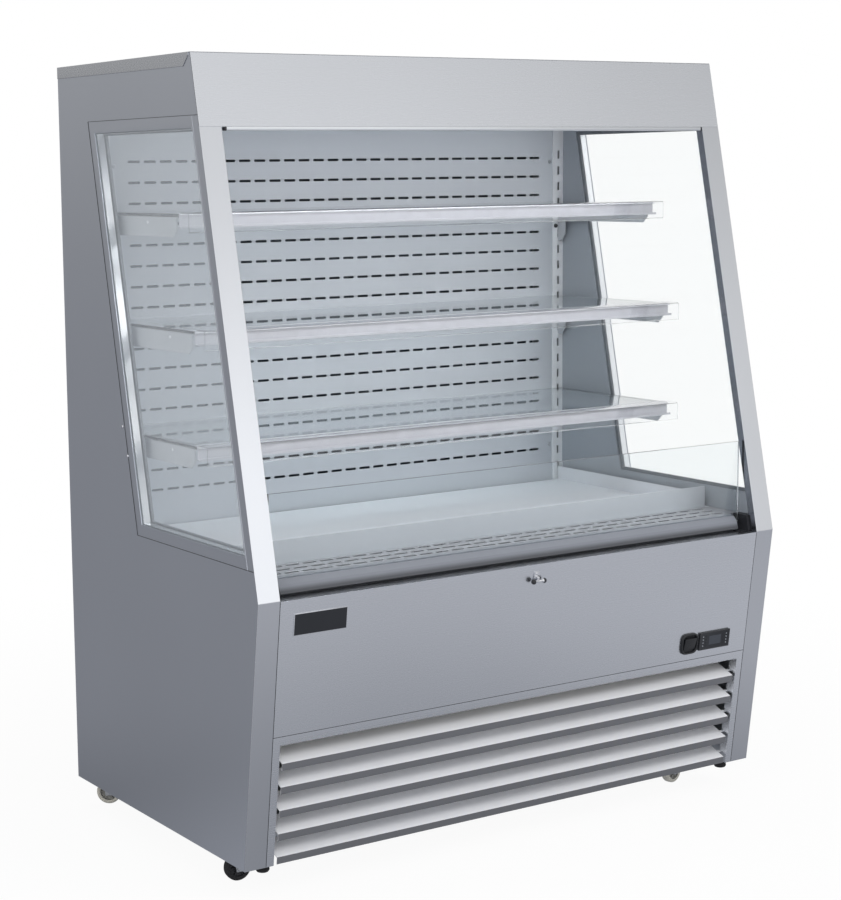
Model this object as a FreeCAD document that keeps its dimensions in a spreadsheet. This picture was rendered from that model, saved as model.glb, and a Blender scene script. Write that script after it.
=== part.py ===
import FreeCAD, Part
import math
import os
import types

import Sketcher

# Open multideck display fridge. Millimetres, +Z up, the front faces -Y and +X is to the right.
# The origin is on the floor, midway between the sides and midway between the front fold and the back.

os.makedirs("parts", exist_ok=True)

SIZES = {
    # the whole cabinet
    "width": 1200,              # over the two front pillars
    "depth": 740,               # from the fold in the front to the rear skin
    "height": 1482,             # floor to the top cover
    "kink_height": 550,         # where the front folds: it leans back above and below
    "skirt_height": 60,         # floor to the lower edge of the skins
    "crown_setback": 199,       # how far the front leans back at the top
    "foot_setback": 64,         # how far it leans back at the skirt
    "skin_gauge": 1.2,          # painted and stainless sheet
    "cover_gauge": 1,           # thinner sheet: top cover flanges, liners, rear skin
    # cavity and insulation
    "cavity_width": 1140,
    "tank_drop": 80,            # tank floor below the fold
    "floor_foam": 30,
    "tank_front": 48,           # tank wall behind the fold
    "rear_foam": 39,
    "ceiling_drop": 42,         # cavity ceiling below the roof
    "roof_front": 230,          # front end of the roof foam behind the fold
    # side windows: two panes, spacer and seal
    "window_low": 625,
    "window_drop": 130,         # window's upper edge below the roof
    "window_front": 27,         # glass edge behind the sloping front
    "window_length": 384,
    "surround": 22,             # pressed rim round the window
    "surround_lip": 3,
    "rim_height": 0.4,
    "pane_gauge": 4,
    "pane_lap": 9,              # glass held behind the rim
    "pane_gap": 14,
    "spacer_width": 11,
    "seal_width": 14,
    "liner_rim": 33,            # pressed frame round the window on the inside
    "liner_reveal": 2.0625,     # inner sheet's edge behind the outer sheet's window edge
    # pillars and fascia
    "pillar_width": 44,
    "pillar_return": 18,
    "fascia_drop": 128,
    "fascia_flange": 25,
    "cover_flange": 22,
    "cover_nose": 27,           # front end of the cover's side flange behind the front
    # rear air panel
    "air_panel_front": 110,     # its front face, ahead of the rear skin's outer face
    "air_panel_gauge": 1.5,
    "air_panel_low": 560,
    "air_ceiling_drop": 110,
    "air_ceiling_depth": 352,
    "slot_length": 27,
    "slot_height": 5.2,
    "slot_pitch": 35.05,
    "slot_columns": 29,
    "slot_row_pitch": 40.46,
    "slot_rows": 17,
    "slot_top": 1298.4,
    # shelf standards
    "standard_width": 28.5,
    "standard_proud": 2,        # in front of the air panel
    "standard_gauge": 1.5,
    "notch_width": 5,
    "notch_height": 17.3,
    "notch_pitch": 34.7,
    "notch_count": 21,
    "notch_top": 1305.4,
    "notch_inset": 13,          # from the cavity wall
    # shelves
    "first_shelf_notch": 3,
    "shelf_step": 6,            # notches from one shelf to the next
    "shelf_rise": 1.7,          # deck top over its notch
    "shelf_width": 1120,
    "shelf_glass": 6,
    "shelf_back_gap": 6,
    "top_shelf_depth": 300,
    "shelf_depth": 350,
    "bracket_gauge": 2,
    "bracket_height": 37,
    "bracket_tail": 43,
    "bracket_tail_depth": 25,
    "bracket_flange": 12,
    "hook_drop": 5,
    # price rails
    "rail_gauge": 1.5,
    "rail_reach": 33,
    "rail_cover": 37,
    "rail_back": 24,
    "rail_foot": 10,
    "rail_lip": 10,
    "rail_top": 2.5,
    # bottom deck
    "deck_rise": 29.7,          # deck over the fold
    "deck_front": 151,          # front edge behind the fold
    "deck_side_height": 29,
    "deck_side_inset": 15,
    "deck_stop_height": 44,
    "ledge_rise": 16,           # foot of the deck and the riser glass over the fold
    "ledge_width": 15,
    "fit_gap": 0.4,             # between pieces that lift or turn
    "return_slot_columns": 30,
    "return_slot_rows": 3,
    "return_slot_pitch": 36,
    "return_slot_length": 28,
    "return_slot_width": 9,
    # glass riser at the front
    "riser_glass": 6,
    "riser_width": 1098,
    "riser_rise": 177.7,        # upper edge of the glass over the fold
    "riser_front": 46,          # glass behind the fold
    "riser_profile_width": 1074,
    "riser_profile_back": 65,
    "riser_profile_front": 32,
    "cheek_rise": 30,           # upper edge of the black cheeks over the fold
    "cheek_width": 19,
    # front panel
    "panel_width": 1111.2,
    "panel_low": 302,
    "panel_drop": 1,            # panel ledge below the fold
    "badge_left": -527,
    "badge_width": 109,
    "badge_low": 484,
    "badge_height": 40,
    "badge_gauge": 1.6,
    "hook_height": 519,
    "hook_half": 12,
    "hook_ball": 5,
    "hook_rod": 2.4,
    "hook_stand": 8,
    "switch_x": 402.8,
    "switch_height": 337,
    "switch_width": 45,
    "switch_tall": 44,
    "rocker_width": 30,
    "rocker_tall": 24.4,
    "rocker_tilt": 7,
    "controller_x": 468.5,
    "controller_height": 337,
    "controller_width": 80,
    "controller_tall": 36,
    "controller_lap_side": 4.5, # bezel past its cut-out at each side
    "controller_lap_end": 3.5,  # bezel past its cut-out above and below
    "switch_margin": 3,         # cut-out round the rocker
    "panel_return_gap": 3,      # panel's side returns stop short of the pillar returns
    "panel_return_drop": 6,     # and below the panel's top
    "controller_depth": 58,
    "controller_window": 30,
    # louvre grille
    "stile_width": 15.6,
    "stile_return": 20,
    "grille_rail": 16,
    "blade_top": 251,
    "blade_pitch": 44,
    "blade_count": 5,
    "blade_face": 13.5,
    "blade_run": 48,
    "blade_rise": 19,
    "blade_gap": 6,
    "lug_front": 14,
    "lug_back": 20,
    # base tray and casters
    "tray_gauge": 2,
    "tray_wall": 30,
    "tray_front": 118,          # front wall behind the fold
    "caster_height": 68,
    "caster_x": 520,
    "front_caster": 180,        # swivel behind the fold
    "rear_caster": 40,          # swivel ahead of the back
    "wheel_radius": 25,
    "wheel_width": 18,
    "trail": 27,
    "fork_gauge": 2,
    "fork_inside": 22,
    "axle_radius": 4,
    "caster_plate": 56,
    "caster_plate_gauge": 2,
    "race_radius": 15,
    "pad_x": 549,
    "pad_back": 88,             # pad centre behind the fold
    "pad_radius": 12.5,
    "pad_bottom": 45,
    "pad_height": 15,
    "pad_stud": 4,
    # night curtain
    "roller_back": 220,         # roller centre behind the fold
    "roller_drop": 72,
    "roller_radius": 22,
    "roller_half": 540,
    "roller_pin": 5,
    "cloth_width": 1070,
    "cloth_gauge": 0.8,
    "bar_width": 1082,
    "bar_cap": 12,
    "bar_height": 7,
    "bar_depth": 10,
    "bar_fin": 6,
    # air outlet and lamp
    "outlet_depth": 32.8,
    "outlet_height": 14,
    "outlet_cells": 36,
    "outlet_cell": 28,
    "outlet_pitch": 31,
    "lamp_width": 1040,
    "lamp_depth": 24,
    "lamp_height": 12,
    # machine compartment
    "compressor_x": 320,
    "compressor_y": 130,
    "compressor_radius": 82,
    "compressor_height": 190,
    "condenser_x": -180,
    "condenser_back": 170,      # its front face behind the fold
    "condenser_width": 320,
    "condenser_height": 260,
    "condenser_depth": 50,
    "fin_count": 26,
    "fan_radius": 110,
    "fan_arm_half": 8,          # motor arm, half its width
    "fan_arm_lap": 4,           # arm past the fan's circle
    "fan_hub": 30,
    "fan_blades": 5,
    "fan_shaft": 5,
    "rotor_gap": 18,
    "pipe_radius": 5,
    "drip_width": 300,
    "drip_depth": 200,
    "drip_height": 40,
    "box_width": 170,
    "box_depth": 110,
    "box_height": 120,
    # evaporator
    "coil_width": 860,
    "coil_depth": 220,
    "coil_height": 76,
    "coil_feet": 6,
    "tank_fan_radius": 38,
    "tank_fan_hub": 13,
}


class Size:
    """A length together with the spreadsheet formula that it comes from."""

    def __init__(self, value, formula):
        self.value = value
        self.formula = formula

    def __add__(self, other):
        other = sized(other)
        return Size(self.value + other.value, f"({self.formula} + {other.formula})")

    def __sub__(self, other):
        other = sized(other)
        return Size(self.value - other.value, f"({self.formula} - {other.formula})")

    def __mul__(self, other):
        other = sized(other)
        return Size(self.value * other.value, f"({self.formula} * {other.formula})")

    def __truediv__(self, other):
        other = sized(other)
        return Size(self.value / other.value, f"({self.formula} / {other.formula})")

    def __neg__(self):
        return Size(-self.value, f"(0 - {self.formula})")

    def __radd__(self, other):
        return sized(other) + self

    def __rsub__(self, other):
        return sized(other) - self

    def __rmul__(self, other):
        return sized(other) * self


def sized(value):
    """Turns a plain number into a Size."""
    if isinstance(value, Size):
        return value
    return Size(float(value), f"({float(value)})")


def arctangent(ratio):
    """The angle in degrees whose tangent is the ratio."""
    return Size(math.degrees(math.atan(ratio.value)), f"(atan({ratio.formula}) / (1 deg))")


def cosine(angle):
    """The cosine of an angle in degrees."""
    return Size(math.cos(math.radians(angle.value)), f"cos({angle.formula})")


def sine(angle):
    """The sine of an angle in degrees."""
    return Size(math.sin(math.radians(angle.value)), f"sin({angle.formula})")


doc = FreeCAD.newDocument("display_fridge")
sheet = doc.addObject("Spreadsheet::Sheet", "sizes")
for row, (alias, number) in enumerate(SIZES.items(), start=1):
    sheet.set(f"A{row}", str(number))
    sheet.setAlias(f"A{row}", alias)
doc.recompute()
s = types.SimpleNamespace(**{alias: Size(float(number), f"sizes.{alias}") for alias, number in SIZES.items()})

sub_parts = []


# ---------------------------------------------------------------- building blocks

def bind(item, path, value):
    """Ties one property to the spreadsheet, when its value comes from there."""
    if isinstance(value, Size):
        item.setExpression(path, value.formula)


def place(item, x=0, y=0, z=0, axis=(0, 0, 1), angle=0):
    """Puts an item at a point, turned about an axis through that point."""
    base = FreeCAD.Vector(sized(x).value, sized(y).value, sized(z).value)
    turn = FreeCAD.Rotation(FreeCAD.Vector(*axis), sized(angle).value)
    item.Placement = FreeCAD.Placement(base, turn)
    for letter, value in zip("xyz", (x, y, z)):
        bind(item, f"Placement.Base.{letter}", value)
    bind(item, "Placement.Rotation.Angle", angle)
    return item


def new_body(name):
    return doc.addObject("PartDesign::Body", name)


def origin_feature(body, role):
    return [feature for feature in body.Origin.OriginFeatures if feature.Role == role][0]


def draw(body, plane, loops, offset):
    """Draws closed loops on one of the body's own planes. A loop is a list of points or one circle."""
    sketch = body.newObject("Sketcher::SketchObject", body.Name + "_sketch")
    sketch.AttachmentSupport = [(origin_feature(body, plane + "_Plane"), "")]
    sketch.MapMode = "FlatFace"
    shift = FreeCAD.Vector(0, 0, sized(offset).value)
    sketch.AttachmentOffset = FreeCAD.Placement(shift, FreeCAD.Rotation())
    bind(sketch, "AttachmentOffset.Base.z", offset)
    for loop in loops:
        if isinstance(loop, Circle):
            draw_circle(sketch, loop)
        else:
            draw_points(sketch, loop)
    return sketch


class Circle:
    """A circle for draw, given by its centre and its radius."""

    def __init__(self, across, up, radius):
        self.across = across
        self.up = up
        self.radius = radius


def draw_circle(sketch, circle):
    centre = FreeCAD.Vector(sized(circle.across).value, sized(circle.up).value, 0)
    radius = sized(circle.radius).value
    edge = sketch.addGeometry(Part.Circle(centre, FreeCAD.Vector(0, 0, 1), radius))
    for kind, value in (("DistanceX", circle.across), ("DistanceY", circle.up)):
        index = sketch.addConstraint(Sketcher.Constraint(kind, -1, 1, edge, 3, sized(value).value))
        bind(sketch, f"Constraints[{index}]", value)
    index = sketch.addConstraint(Sketcher.Constraint("Radius", edge, radius))
    bind(sketch, f"Constraints[{index}]", circle.radius)


def draw_points(sketch, points):
    """A polygon whose every corner is held by its two distances from the origin."""
    corners = [FreeCAD.Vector(sized(across).value, sized(up).value, 0) for across, up in points]
    count = len(corners)
    lines = [Part.LineSegment(corners[n], corners[(n + 1) % count]) for n in range(count)]
    first = sketch.addGeometry(lines)[0]
    rules = [Sketcher.Constraint("Coincident", first + n, 2, first + (n + 1) % count, 1)
             for n in range(count)]
    sketch.addConstraint(rules)
    for n, point in enumerate(points):
        for kind, value in zip(("DistanceX", "DistanceY"), point):
            rule = Sketcher.Constraint(kind, -1, 1, first + n, 1, sized(value).value)
            index = sketch.addConstraint(rule)
            bind(sketch, f"Constraints[{index}]", value)


def sketch_offset(plane, start, end):
    """The sketch's own shift: the XZ plane looks along -Y, so it starts at the far end."""
    return -sized(end) if plane == "XZ" else start


def pad(body, plane, loops, start, end):
    """Adds the loops to the body, from start to end along the plane's normal axis."""
    sketch = draw(body, plane, loops, sketch_offset(plane, start, end))
    feature = body.newObject("PartDesign::Pad", body.Name + "_pad")
    feature.Profile = sketch
    length = sized(end) - start
    feature.Length = length.value
    bind(feature, "Length", length)
    body.Tip = feature
    return feature


def pocket(body, plane, loops, start, end):
    """Cuts the loops out of the body, from start to end along the plane's normal axis."""
    sketch = draw(body, plane, loops, sketch_offset(plane, start, end))
    feature = body.newObject("PartDesign::Pocket", body.Name + "_pocket")
    feature.Profile = sketch
    feature.Reversed = True
    length = sized(end) - start
    feature.Length = length.value
    bind(feature, "Length", length)
    body.Tip = feature
    return feature


def profile(name, plane, loops, start, end):
    """A body that is one pad."""
    body = new_body(name)
    pad(body, plane, loops, start, end)
    return body


def turned(name, outline):
    """A body turned about its own Z axis from a half outline of (radius, height) points."""
    body = new_body(name)
    sketch = draw(body, "XZ", [outline], 0)
    feature = body.newObject("PartDesign::Revolution", name + "_turn")
    feature.Profile = sketch
    feature.ReferenceAxis = (sketch, ["V_Axis"])
    feature.Angle = 360
    body.Tip = feature
    return body


def repeated(body, feature, steps):
    """Repeats a feature; each step is (axis role, pitch, count, towards the negative end)."""
    pattern = body.newObject("PartDesign::MultiTransform", body.Name + "_pattern")
    rows = []
    for role, pitch, count, backwards in steps:
        row = doc.addObject("PartDesign::LinearPattern", body.Name + "_row")
        row.Direction = (origin_feature(body, role), [""])
        row.Reversed = backwards
        span = pitch * (count - 1)
        row.Length = span.value
        bind(row, "Length", span)
        row.Occurrences = int(count.value)
        bind(row, "Occurrences", count)
        rows.append(row)
    pattern.Originals = [feature]
    pattern.Transformations = rows
    pattern.Refine = False
    body.Tip = pattern
    return pattern


def slotted_sheet(name, corners, slot, pitches, counts, gauge):
    """A flat sheet with a grid of equal slots, drawn level at z 0 and made in one extrusion."""
    def wire(low, high):
        points = [FreeCAD.Vector(sized(across).value, sized(along).value, 0)
                  for across, along in rectangle(low, high)]
        return Part.makePolygon(points + points[:1])

    first = wire(*slot)
    holes = []
    for column in range(int(counts[0].value)):
        for line in range(int(counts[1].value)):
            hole = first.copy()
            hole.translate(FreeCAD.Vector(pitches[0].value * column, pitches[1].value * line, 0))
            hole.reverse()
            holes.append(hole)
    sheet_face = Part.Face([wire(*corners)] + holes)
    item = doc.addObject("Part::Feature", name)
    item.Shape = sheet_face.extrude(FreeCAD.Vector(0, 0, gauge.value))
    return item


def rectangle(low, high):
    """Four corners from (across, up) low to (across, up) high."""
    return [low, (high[0], low[1]), high, (low[0], high[1])]


def folded(path, gauge):
    """The outline of a square-folded sheet: the path, and the same path moved to its left."""
    steps = []
    for (across, up), (next_across, next_up) in zip(path, path[1:]):
        run = sized(next_across).value - sized(across).value
        rise = sized(next_up).value - sized(up).value
        length = math.hypot(run, rise)
        steps.append((round(-rise / length), round(run / length)))
    normals = [[steps[0]]] + [[a, b] for a, b in zip(steps, steps[1:])] + [[steps[-1]]]
    moved = []
    for (across, up), group in zip(path, normals):
        moved.append((across + gauge * sum(normal[0] for normal in group),
                      up + gauge * sum(normal[1] for normal in group)))
    return list(path) + moved[::-1]


def joined(name, pieces):
    item = doc.addObject("Part::MultiFuse", name)
    item.Shapes = pieces
    return item


def together(name, pieces):
    item = doc.addObject("Part::Compound", name)
    item.Links = pieces
    return item


def mirrored(item):
    """The same piece on the other side of the cabinet."""
    copy = doc.addObject("Part::Mirroring", item.Name + "_mirrored")
    copy.Source = item
    copy.Normal = FreeCAD.Vector(1, 0, 0)
    return copy


def pair(name, item):
    return together(name, [item, mirrored(item)])


def sub_part(label, item):
    doc.recompute()
    item.Label = label
    sub_parts.append(item)
    return item


# ---------------------------------------------------------------- planes that many pieces share

outer = s.width / 2
back = s.depth / 2
fold = -s.depth / 2
upper_slope = s.crown_setback / (s.height - s.kink_height)
lower_slope = s.foot_setback / (s.kink_height - s.skirt_height)
lower_tilt = arctangent(lower_slope)
skin_out = outer - s.cover_gauge
skin_in = skin_out - s.skin_gauge
cavity = s.cavity_width / 2
liner_out = cavity + s.cover_gauge
roof = s.height - s.skin_gauge
rear_in = back - s.cover_gauge
pillar_in = outer - s.pillar_width
tank_front = fold + s.tank_front
s.tank_floor = s.kink_height - s.tank_drop
s.cavity_ceiling = s.height - s.ceiling_drop
s.window_high = s.height - s.window_drop
s.fascia_low = s.height - s.fascia_drop
s.air_ceiling = s.height - s.air_ceiling_drop
s.roller_height = s.height - s.roller_drop
s.deck_height = s.kink_height + s.deck_rise
s.ledge_height = s.kink_height + s.ledge_rise
s.riser_top = s.kink_height + s.riser_rise
s.cheek_top = s.kink_height + s.cheek_rise
foam_floor = s.tank_floor - s.floor_foam
foam_rear = rear_in - s.rear_foam
ledge = s.kink_height - s.panel_drop
panel_half = s.panel_width / 2
air_front = back - s.air_panel_front
standard_front = air_front - s.standard_proud
standard_in = cavity - s.standard_width


def upper(height, inward=0):
    """The y of the front above the fold, moved inward."""
    return fold + (height - s.kink_height) * upper_slope + inward


def lower(height, inward=0):
    """The y of the front below the fold, moved inward."""
    return fold + (s.kink_height - height) * lower_slope + inward


def front_strip(low, high, near, far):
    """A strip along the whole folded front, between two distances behind it."""
    return [(lower(low, near), low), (fold + near, s.kink_height), (upper(high, near), high),
            (upper(high, far), high), (fold + far, s.kink_height), (lower(low, far), low)]


def window_loop(grow):
    """The window's outline, parallel to the sloping front, grown on all sides."""
    low = s.window_low - grow
    high = s.window_high + grow
    near = s.window_front - grow
    far = s.window_front + s.window_length + grow
    return [(upper(low, near), low), (upper(high, near), high),
            (upper(high, far), high), (upper(low, far), low)]


def side_outline(low):
    """The cabinet's side from a given height to the roof, behind the front sheets."""
    front = []
    if low.value < s.kink_height.value:
        front = [(lower(low, s.skin_gauge), low), (fold + s.skin_gauge, s.kink_height)]
    return front + [(upper(roof, s.skin_gauge), roof), (rear_in, roof), (rear_in, low)]


def on_panel(item, height):
    """Places a piece drawn on the front panel: its y is the depth behind the panel's face."""
    return place(item, 0, lower(height), height, (1, 0, 0), lower_tilt)


# ---------------------------------------------------------------- body and skins

def make_side_skins():
    """Stainless side skins with a pressed rim round each window."""
    outline = side_outline(s.skirt_height)
    outline = outline[:3] + [(back, roof), (back, s.skirt_height)]
    skin = new_body("side_skin")
    pad(skin, "YZ", [outline], skin_in, skin_out)
    rim = window_loop(s.surround)
    rim[0] = (upper(s.window_low - s.surround, s.window_front - s.surround_lip), rim[0][1])
    rim[1] = (upper(s.window_high + s.surround, s.window_front - s.surround_lip), rim[1][1])
    pad(skin, "YZ", [rim], skin_out, skin_out + s.rim_height)
    pocket(skin, "YZ", [window_loop(0)], skin_in, skin_out + s.rim_height)
    sub_part("side_skins", pair("side_skin_pair", skin))


def make_windows():
    """Two panes with a spacer between them and a seal against the liner, on each side."""
    reveal = s.pane_lap
    outer_pane = profile("outer_pane", "YZ", [window_loop(reveal)], skin_in - s.pane_gauge, skin_in)
    spacer_out = skin_in - s.pane_gauge
    spacer_in = spacer_out - s.pane_gap
    spacer = profile("spacer", "YZ", [window_loop(reveal), window_loop(reveal - s.spacer_width)],
                     spacer_in, spacer_out)
    inner_face = spacer_in - s.pane_gauge
    inner_pane = profile("inner_pane", "YZ", [window_loop(reveal)], inner_face, spacer_in)
    seal = profile("seal", "YZ", [window_loop(reveal), window_loop(reveal - s.seal_width)],
                   liner_out, inner_face)
    sub_part("window_panes", together("pane_set", [outer_pane, inner_pane,
                                                   mirrored(outer_pane), mirrored(inner_pane)]))
    sub_part("window_spacers", pair("spacer_pair", spacer))
    sub_part("window_seals", pair("seal_pair", seal))


def make_side_liners():
    """Inner side sheets, with the pressed window frame and the ledge that carries the deck."""
    liner = new_body("side_liner")
    hole = window_loop(s.liner_reveal)
    pad(liner, "YZ", [side_outline(foam_floor)], cavity, liner_out)
    frame = window_loop(s.liner_rim)
    near = s.pillar_return
    frame[0] = (upper(s.window_low - s.liner_rim, near), frame[0][1])
    frame[1] = (upper(s.window_high + s.liner_rim, near), frame[1][1])
    pad(liner, "YZ", [frame], cavity - s.skin_gauge, cavity)
    pocket(liner, "YZ", [hole], cavity - s.skin_gauge, liner_out)
    shelf = folded([(cavity, s.ledge_height - s.ledge_width), (cavity, s.ledge_height),
                    (cavity - s.ledge_width, s.ledge_height)], s.skin_gauge)
    pad(liner, "XZ", [shelf], fold + s.riser_profile_back, standard_front)
    sub_part("side_liners", pair("side_liner_pair", liner))


def make_insulation():
    """Foam: a slab in each side and one C-shaped body for floor, back and roof."""
    side = new_body("side_foam")
    pad(side, "YZ", [side_outline(foam_floor)], liner_out, skin_in)
    pocket(side, "YZ", [window_loop(s.pane_lap + 2)], liner_out, skin_in)
    wall_top = ledge - s.skin_gauge
    roof_front = fold + s.roof_front
    outline = [(lower(foam_floor, s.pillar_return), foam_floor),
               (lower(wall_top, s.pillar_return), wall_top),
               (tank_front, wall_top), (tank_front, s.tank_floor),
               (foam_rear, s.tank_floor), (foam_rear, s.cavity_ceiling),
               (roof_front, s.cavity_ceiling), (roof_front, roof),
               (rear_in, roof), (rear_in, foam_floor)]
    body = profile("body_foam", "YZ", [outline], -cavity, cavity)
    sub_part("insulation", together("foam_set", [side, mirrored(side), body]))


def make_cavity_liner():
    """One sheet that lines the tank, the back and the ceiling, with a flange under the riser."""
    path = [(fold + s.riser_profile_back, ledge), (tank_front, ledge), (tank_front, s.tank_floor),
            (foam_rear, s.tank_floor), (foam_rear, s.cavity_ceiling),
            (fold + s.roof_front, s.cavity_ceiling)]
    sub_part("cavity_liner", profile("liner", "YZ", [folded(path, s.skin_gauge)], -cavity, cavity))


def make_pillars():
    """Folded sheet pillars: the face, a return into the opening and a lip to the liner."""
    pillar = new_body("pillar")
    pad(pillar, "YZ", [front_strip(s.skirt_height, s.fascia_low, 0, s.skin_gauge)], pillar_in, outer)
    pad(pillar, "YZ", [front_strip(s.skirt_height, s.fascia_low, 0, s.pillar_return)],
        pillar_in, pillar_in + s.skin_gauge)
    lip = s.pillar_return - s.skin_gauge
    pad(pillar, "YZ", [front_strip(foam_floor, s.fascia_low, lip, s.pillar_return)], pillar_in, cavity)
    sub_part("pillars", pair("pillar_pair", pillar))


def make_fascia():
    """The band over the opening, with a flange that goes under the top cover."""
    body = new_body("fascia_sheet")
    strip = [(upper(s.fascia_low), s.fascia_low), (upper(roof), roof),
             (upper(roof, s.skin_gauge), roof), (upper(s.fascia_low, s.skin_gauge), s.fascia_low)]
    pad(body, "YZ", [strip], -outer, outer)
    under = roof - s.skin_gauge
    flange = [(upper(under, s.skin_gauge / 2), under), (upper(roof, s.skin_gauge / 2), roof),
              (upper(roof, s.fascia_flange), roof), (upper(roof, s.fascia_flange), under)]
    pad(body, "YZ", [flange], s.fit_gap - cavity, cavity - s.fit_gap)
    sub_part("fascia", body)


def make_top_cover():
    """Top sheet with a flange down each side, cut back at its front end."""
    body = new_body("cover")
    top = [(upper(s.height), s.height), (back, s.height), (back, roof), (upper(roof), roof)]
    pad(body, "YZ", [top], -outer, outer)
    low = s.height - s.cover_flange
    nose = upper(s.height, s.cover_nose)
    flange = [(back, roof), (back, low), (nose, low - 2), (upper(roof, s.cover_nose / 3), roof - 5),
              (upper(roof, s.cover_nose / 3), roof)]
    pad(body, "YZ", [flange], skin_out, outer)
    pad(body, "YZ", [flange], -outer, -skin_out)
    sub_part("top_cover", body)


def make_rear_skin():
    """Rear sheet with two banks of vents low down and a hole for the mains gland."""
    body = new_body("rear_sheet")
    pad(body, "XZ", [rectangle((-skin_in, s.skirt_height), (skin_in, roof))], rear_in, back)
    gland = Circle(gland_x(), gland_height(), s.pipe_radius * 2 + s.fit_gap)
    pocket(body, "XZ", [gland], rear_in, back)
    vent = rectangle((outer * 0.2, s.skirt_height * 2.5), (outer * 0.2 + 90, s.skirt_height * 2.5 + 8))
    first = pocket(body, "XZ", [vent], rear_in, back)
    repeated(body, first, [("X_Axis", sized(110), sized(3), False), ("Z_Axis", sized(24), sized(8), False)])
    sub_part("rear_skin", body)


# ---------------------------------------------------------------- inside the display space

def make_air_panel():
    """The slotted back panel and the ceiling sheet that carries the air to the front."""
    gauge = s.air_panel_gauge
    left = -(s.slot_columns - 1) / 2 * s.slot_pitch
    lowest = s.slot_top - s.slot_row_pitch * (s.slot_rows - 1)
    slot = ((left - s.slot_length / 2, lowest - s.slot_height / 2),
            (left + s.slot_length / 2, lowest + s.slot_height / 2))
    corners = ((-standard_in, s.air_panel_low), (standard_in, s.air_ceiling))
    panel = slotted_sheet("air_sheet", corners, slot, (s.slot_pitch, s.slot_row_pitch),
                          (s.slot_columns, s.slot_rows), gauge)
    sub_part("air_panel", place(panel, 0, air_front + gauge, 0, (1, 0, 0), 90))
    clear = cavity - s.skin_gauge - s.fit_gap
    ceiling = rectangle((-clear, outlet_back()), (clear, air_front + gauge))
    sub_part("ceiling_panel", profile("ceiling_sheet", "XY", [ceiling], s.air_ceiling, s.air_ceiling + gauge))


def notch_x():
    return cavity - s.notch_inset


def make_standards():
    """Two channels that stand on the ledges and take the shelf hooks in their notches."""
    body = new_body("standard")
    rear = foam_rear - s.skin_gauge
    path = [(standard_in, rear), (standard_in, standard_front), (cavity, standard_front), (cavity, rear)]
    pad(body, "XY", [folded(path, s.standard_gauge)], s.ledge_height, s.air_ceiling)
    notch = rectangle((notch_x() - s.notch_width / 2, s.notch_top - s.notch_height / 2),
                      (notch_x() + s.notch_width / 2, s.notch_top + s.notch_height / 2))
    first = pocket(body, "XZ", [notch], standard_front, standard_front + s.standard_gauge)
    repeated(body, first, [("Z_Axis", s.notch_pitch, s.notch_count, True)])
    sub_part("standards", pair("standard_pair", body))


def shelf_top(level):
    """Height of a shelf's upper face: level 0 is the highest."""
    notch = s.first_shelf_notch + s.shelf_step * level
    return s.notch_top - s.notch_pitch * notch + s.shelf_rise


def shelf_front(level):
    depth = s.top_shelf_depth if level == 0 else s.shelf_depth
    return standard_front - s.shelf_back_gap - depth


def make_shelf(level):
    """A glass shelf and the price rail that grips its front edge."""
    top = shelf_top(level)
    front = shelf_front(level)
    under = top - s.shelf_glass
    half = s.shelf_width / 2
    rear = standard_front - s.shelf_back_gap
    glass = profile("shelf_plate", "YZ", [rectangle((front, under), (rear, top))], -half, half)
    sub_part(f"shelf_glass_{level + 1}", glass)
    gauge = s.rail_gauge
    wall = front - gauge
    cover = wall - s.rail_reach
    crest = top + s.rail_top
    foot = top - s.rail_back
    outline = [(cover, crest), (front + s.rail_lip, crest), (front + s.rail_lip, top), (front, top),
               (front, under), (front + s.rail_lip, under), (front + s.rail_lip, under - gauge),
               (front, under - gauge), (front, foot - gauge), (wall - s.rail_foot, foot - gauge),
               (wall - s.rail_foot, foot), (wall, foot), (wall, crest - gauge),
               (cover + gauge, crest - gauge), (cover + gauge, crest - s.rail_cover),
               (cover, crest - s.rail_cover)]
    rail = profile("rail", "YZ", [outline], s.fit_gap - half, half - s.fit_gap)
    sub_part(f"price_rail_{level + 1}", rail)


def make_bracket(level):
    """A cantilever bracket: a plate with a tail, a flange under the glass and two hooks."""
    top = shelf_top(level) - s.shelf_glass
    front = shelf_front(level) + s.rail_lip + 2
    low = top - s.bracket_height
    tail_low = low - s.bracket_tail
    tail_front = standard_front - s.bracket_tail_depth
    chamfer = s.bracket_tail_depth / 2
    inside = notch_x() - s.bracket_gauge / 2
    outside = notch_x() + s.bracket_gauge / 2
    plate = [(front, top), (standard_front, top), (standard_front, tail_low),
             (tail_front + chamfer, tail_low), (tail_front, tail_low + chamfer), (tail_front, low),
             (front + chamfer, low), (front, low + chamfer)]
    body = new_body("bracket")
    pad(body, "YZ", [plate], inside, outside)
    flange = rectangle((inside - s.bracket_flange, front), (outside, standard_front))
    pad(body, "XY", [flange], top - s.bracket_gauge, top)
    through = standard_front + s.standard_gauge
    for step in (1, 2):
        notch = s.notch_top - s.notch_pitch * (s.first_shelf_notch + s.shelf_step * level + step)
        seat = notch - s.notch_height / 2
        hook = [(standard_front - 3, seat + s.hook_drop * 2), (standard_front - 3, seat), (through, seat),
                (through, seat - s.hook_drop), (through + s.hook_drop, seat - s.hook_drop),
                (through + s.hook_drop, seat + s.hook_drop)]
        pad(body, "YZ", [hook], inside, outside)
    return body


def make_brackets():
    pieces = []
    for level in range(3):
        bracket = make_bracket(level)
        pieces += [bracket, mirrored(bracket)]
    sub_part("shelf_brackets", together("bracket_set", pieces))


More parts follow.
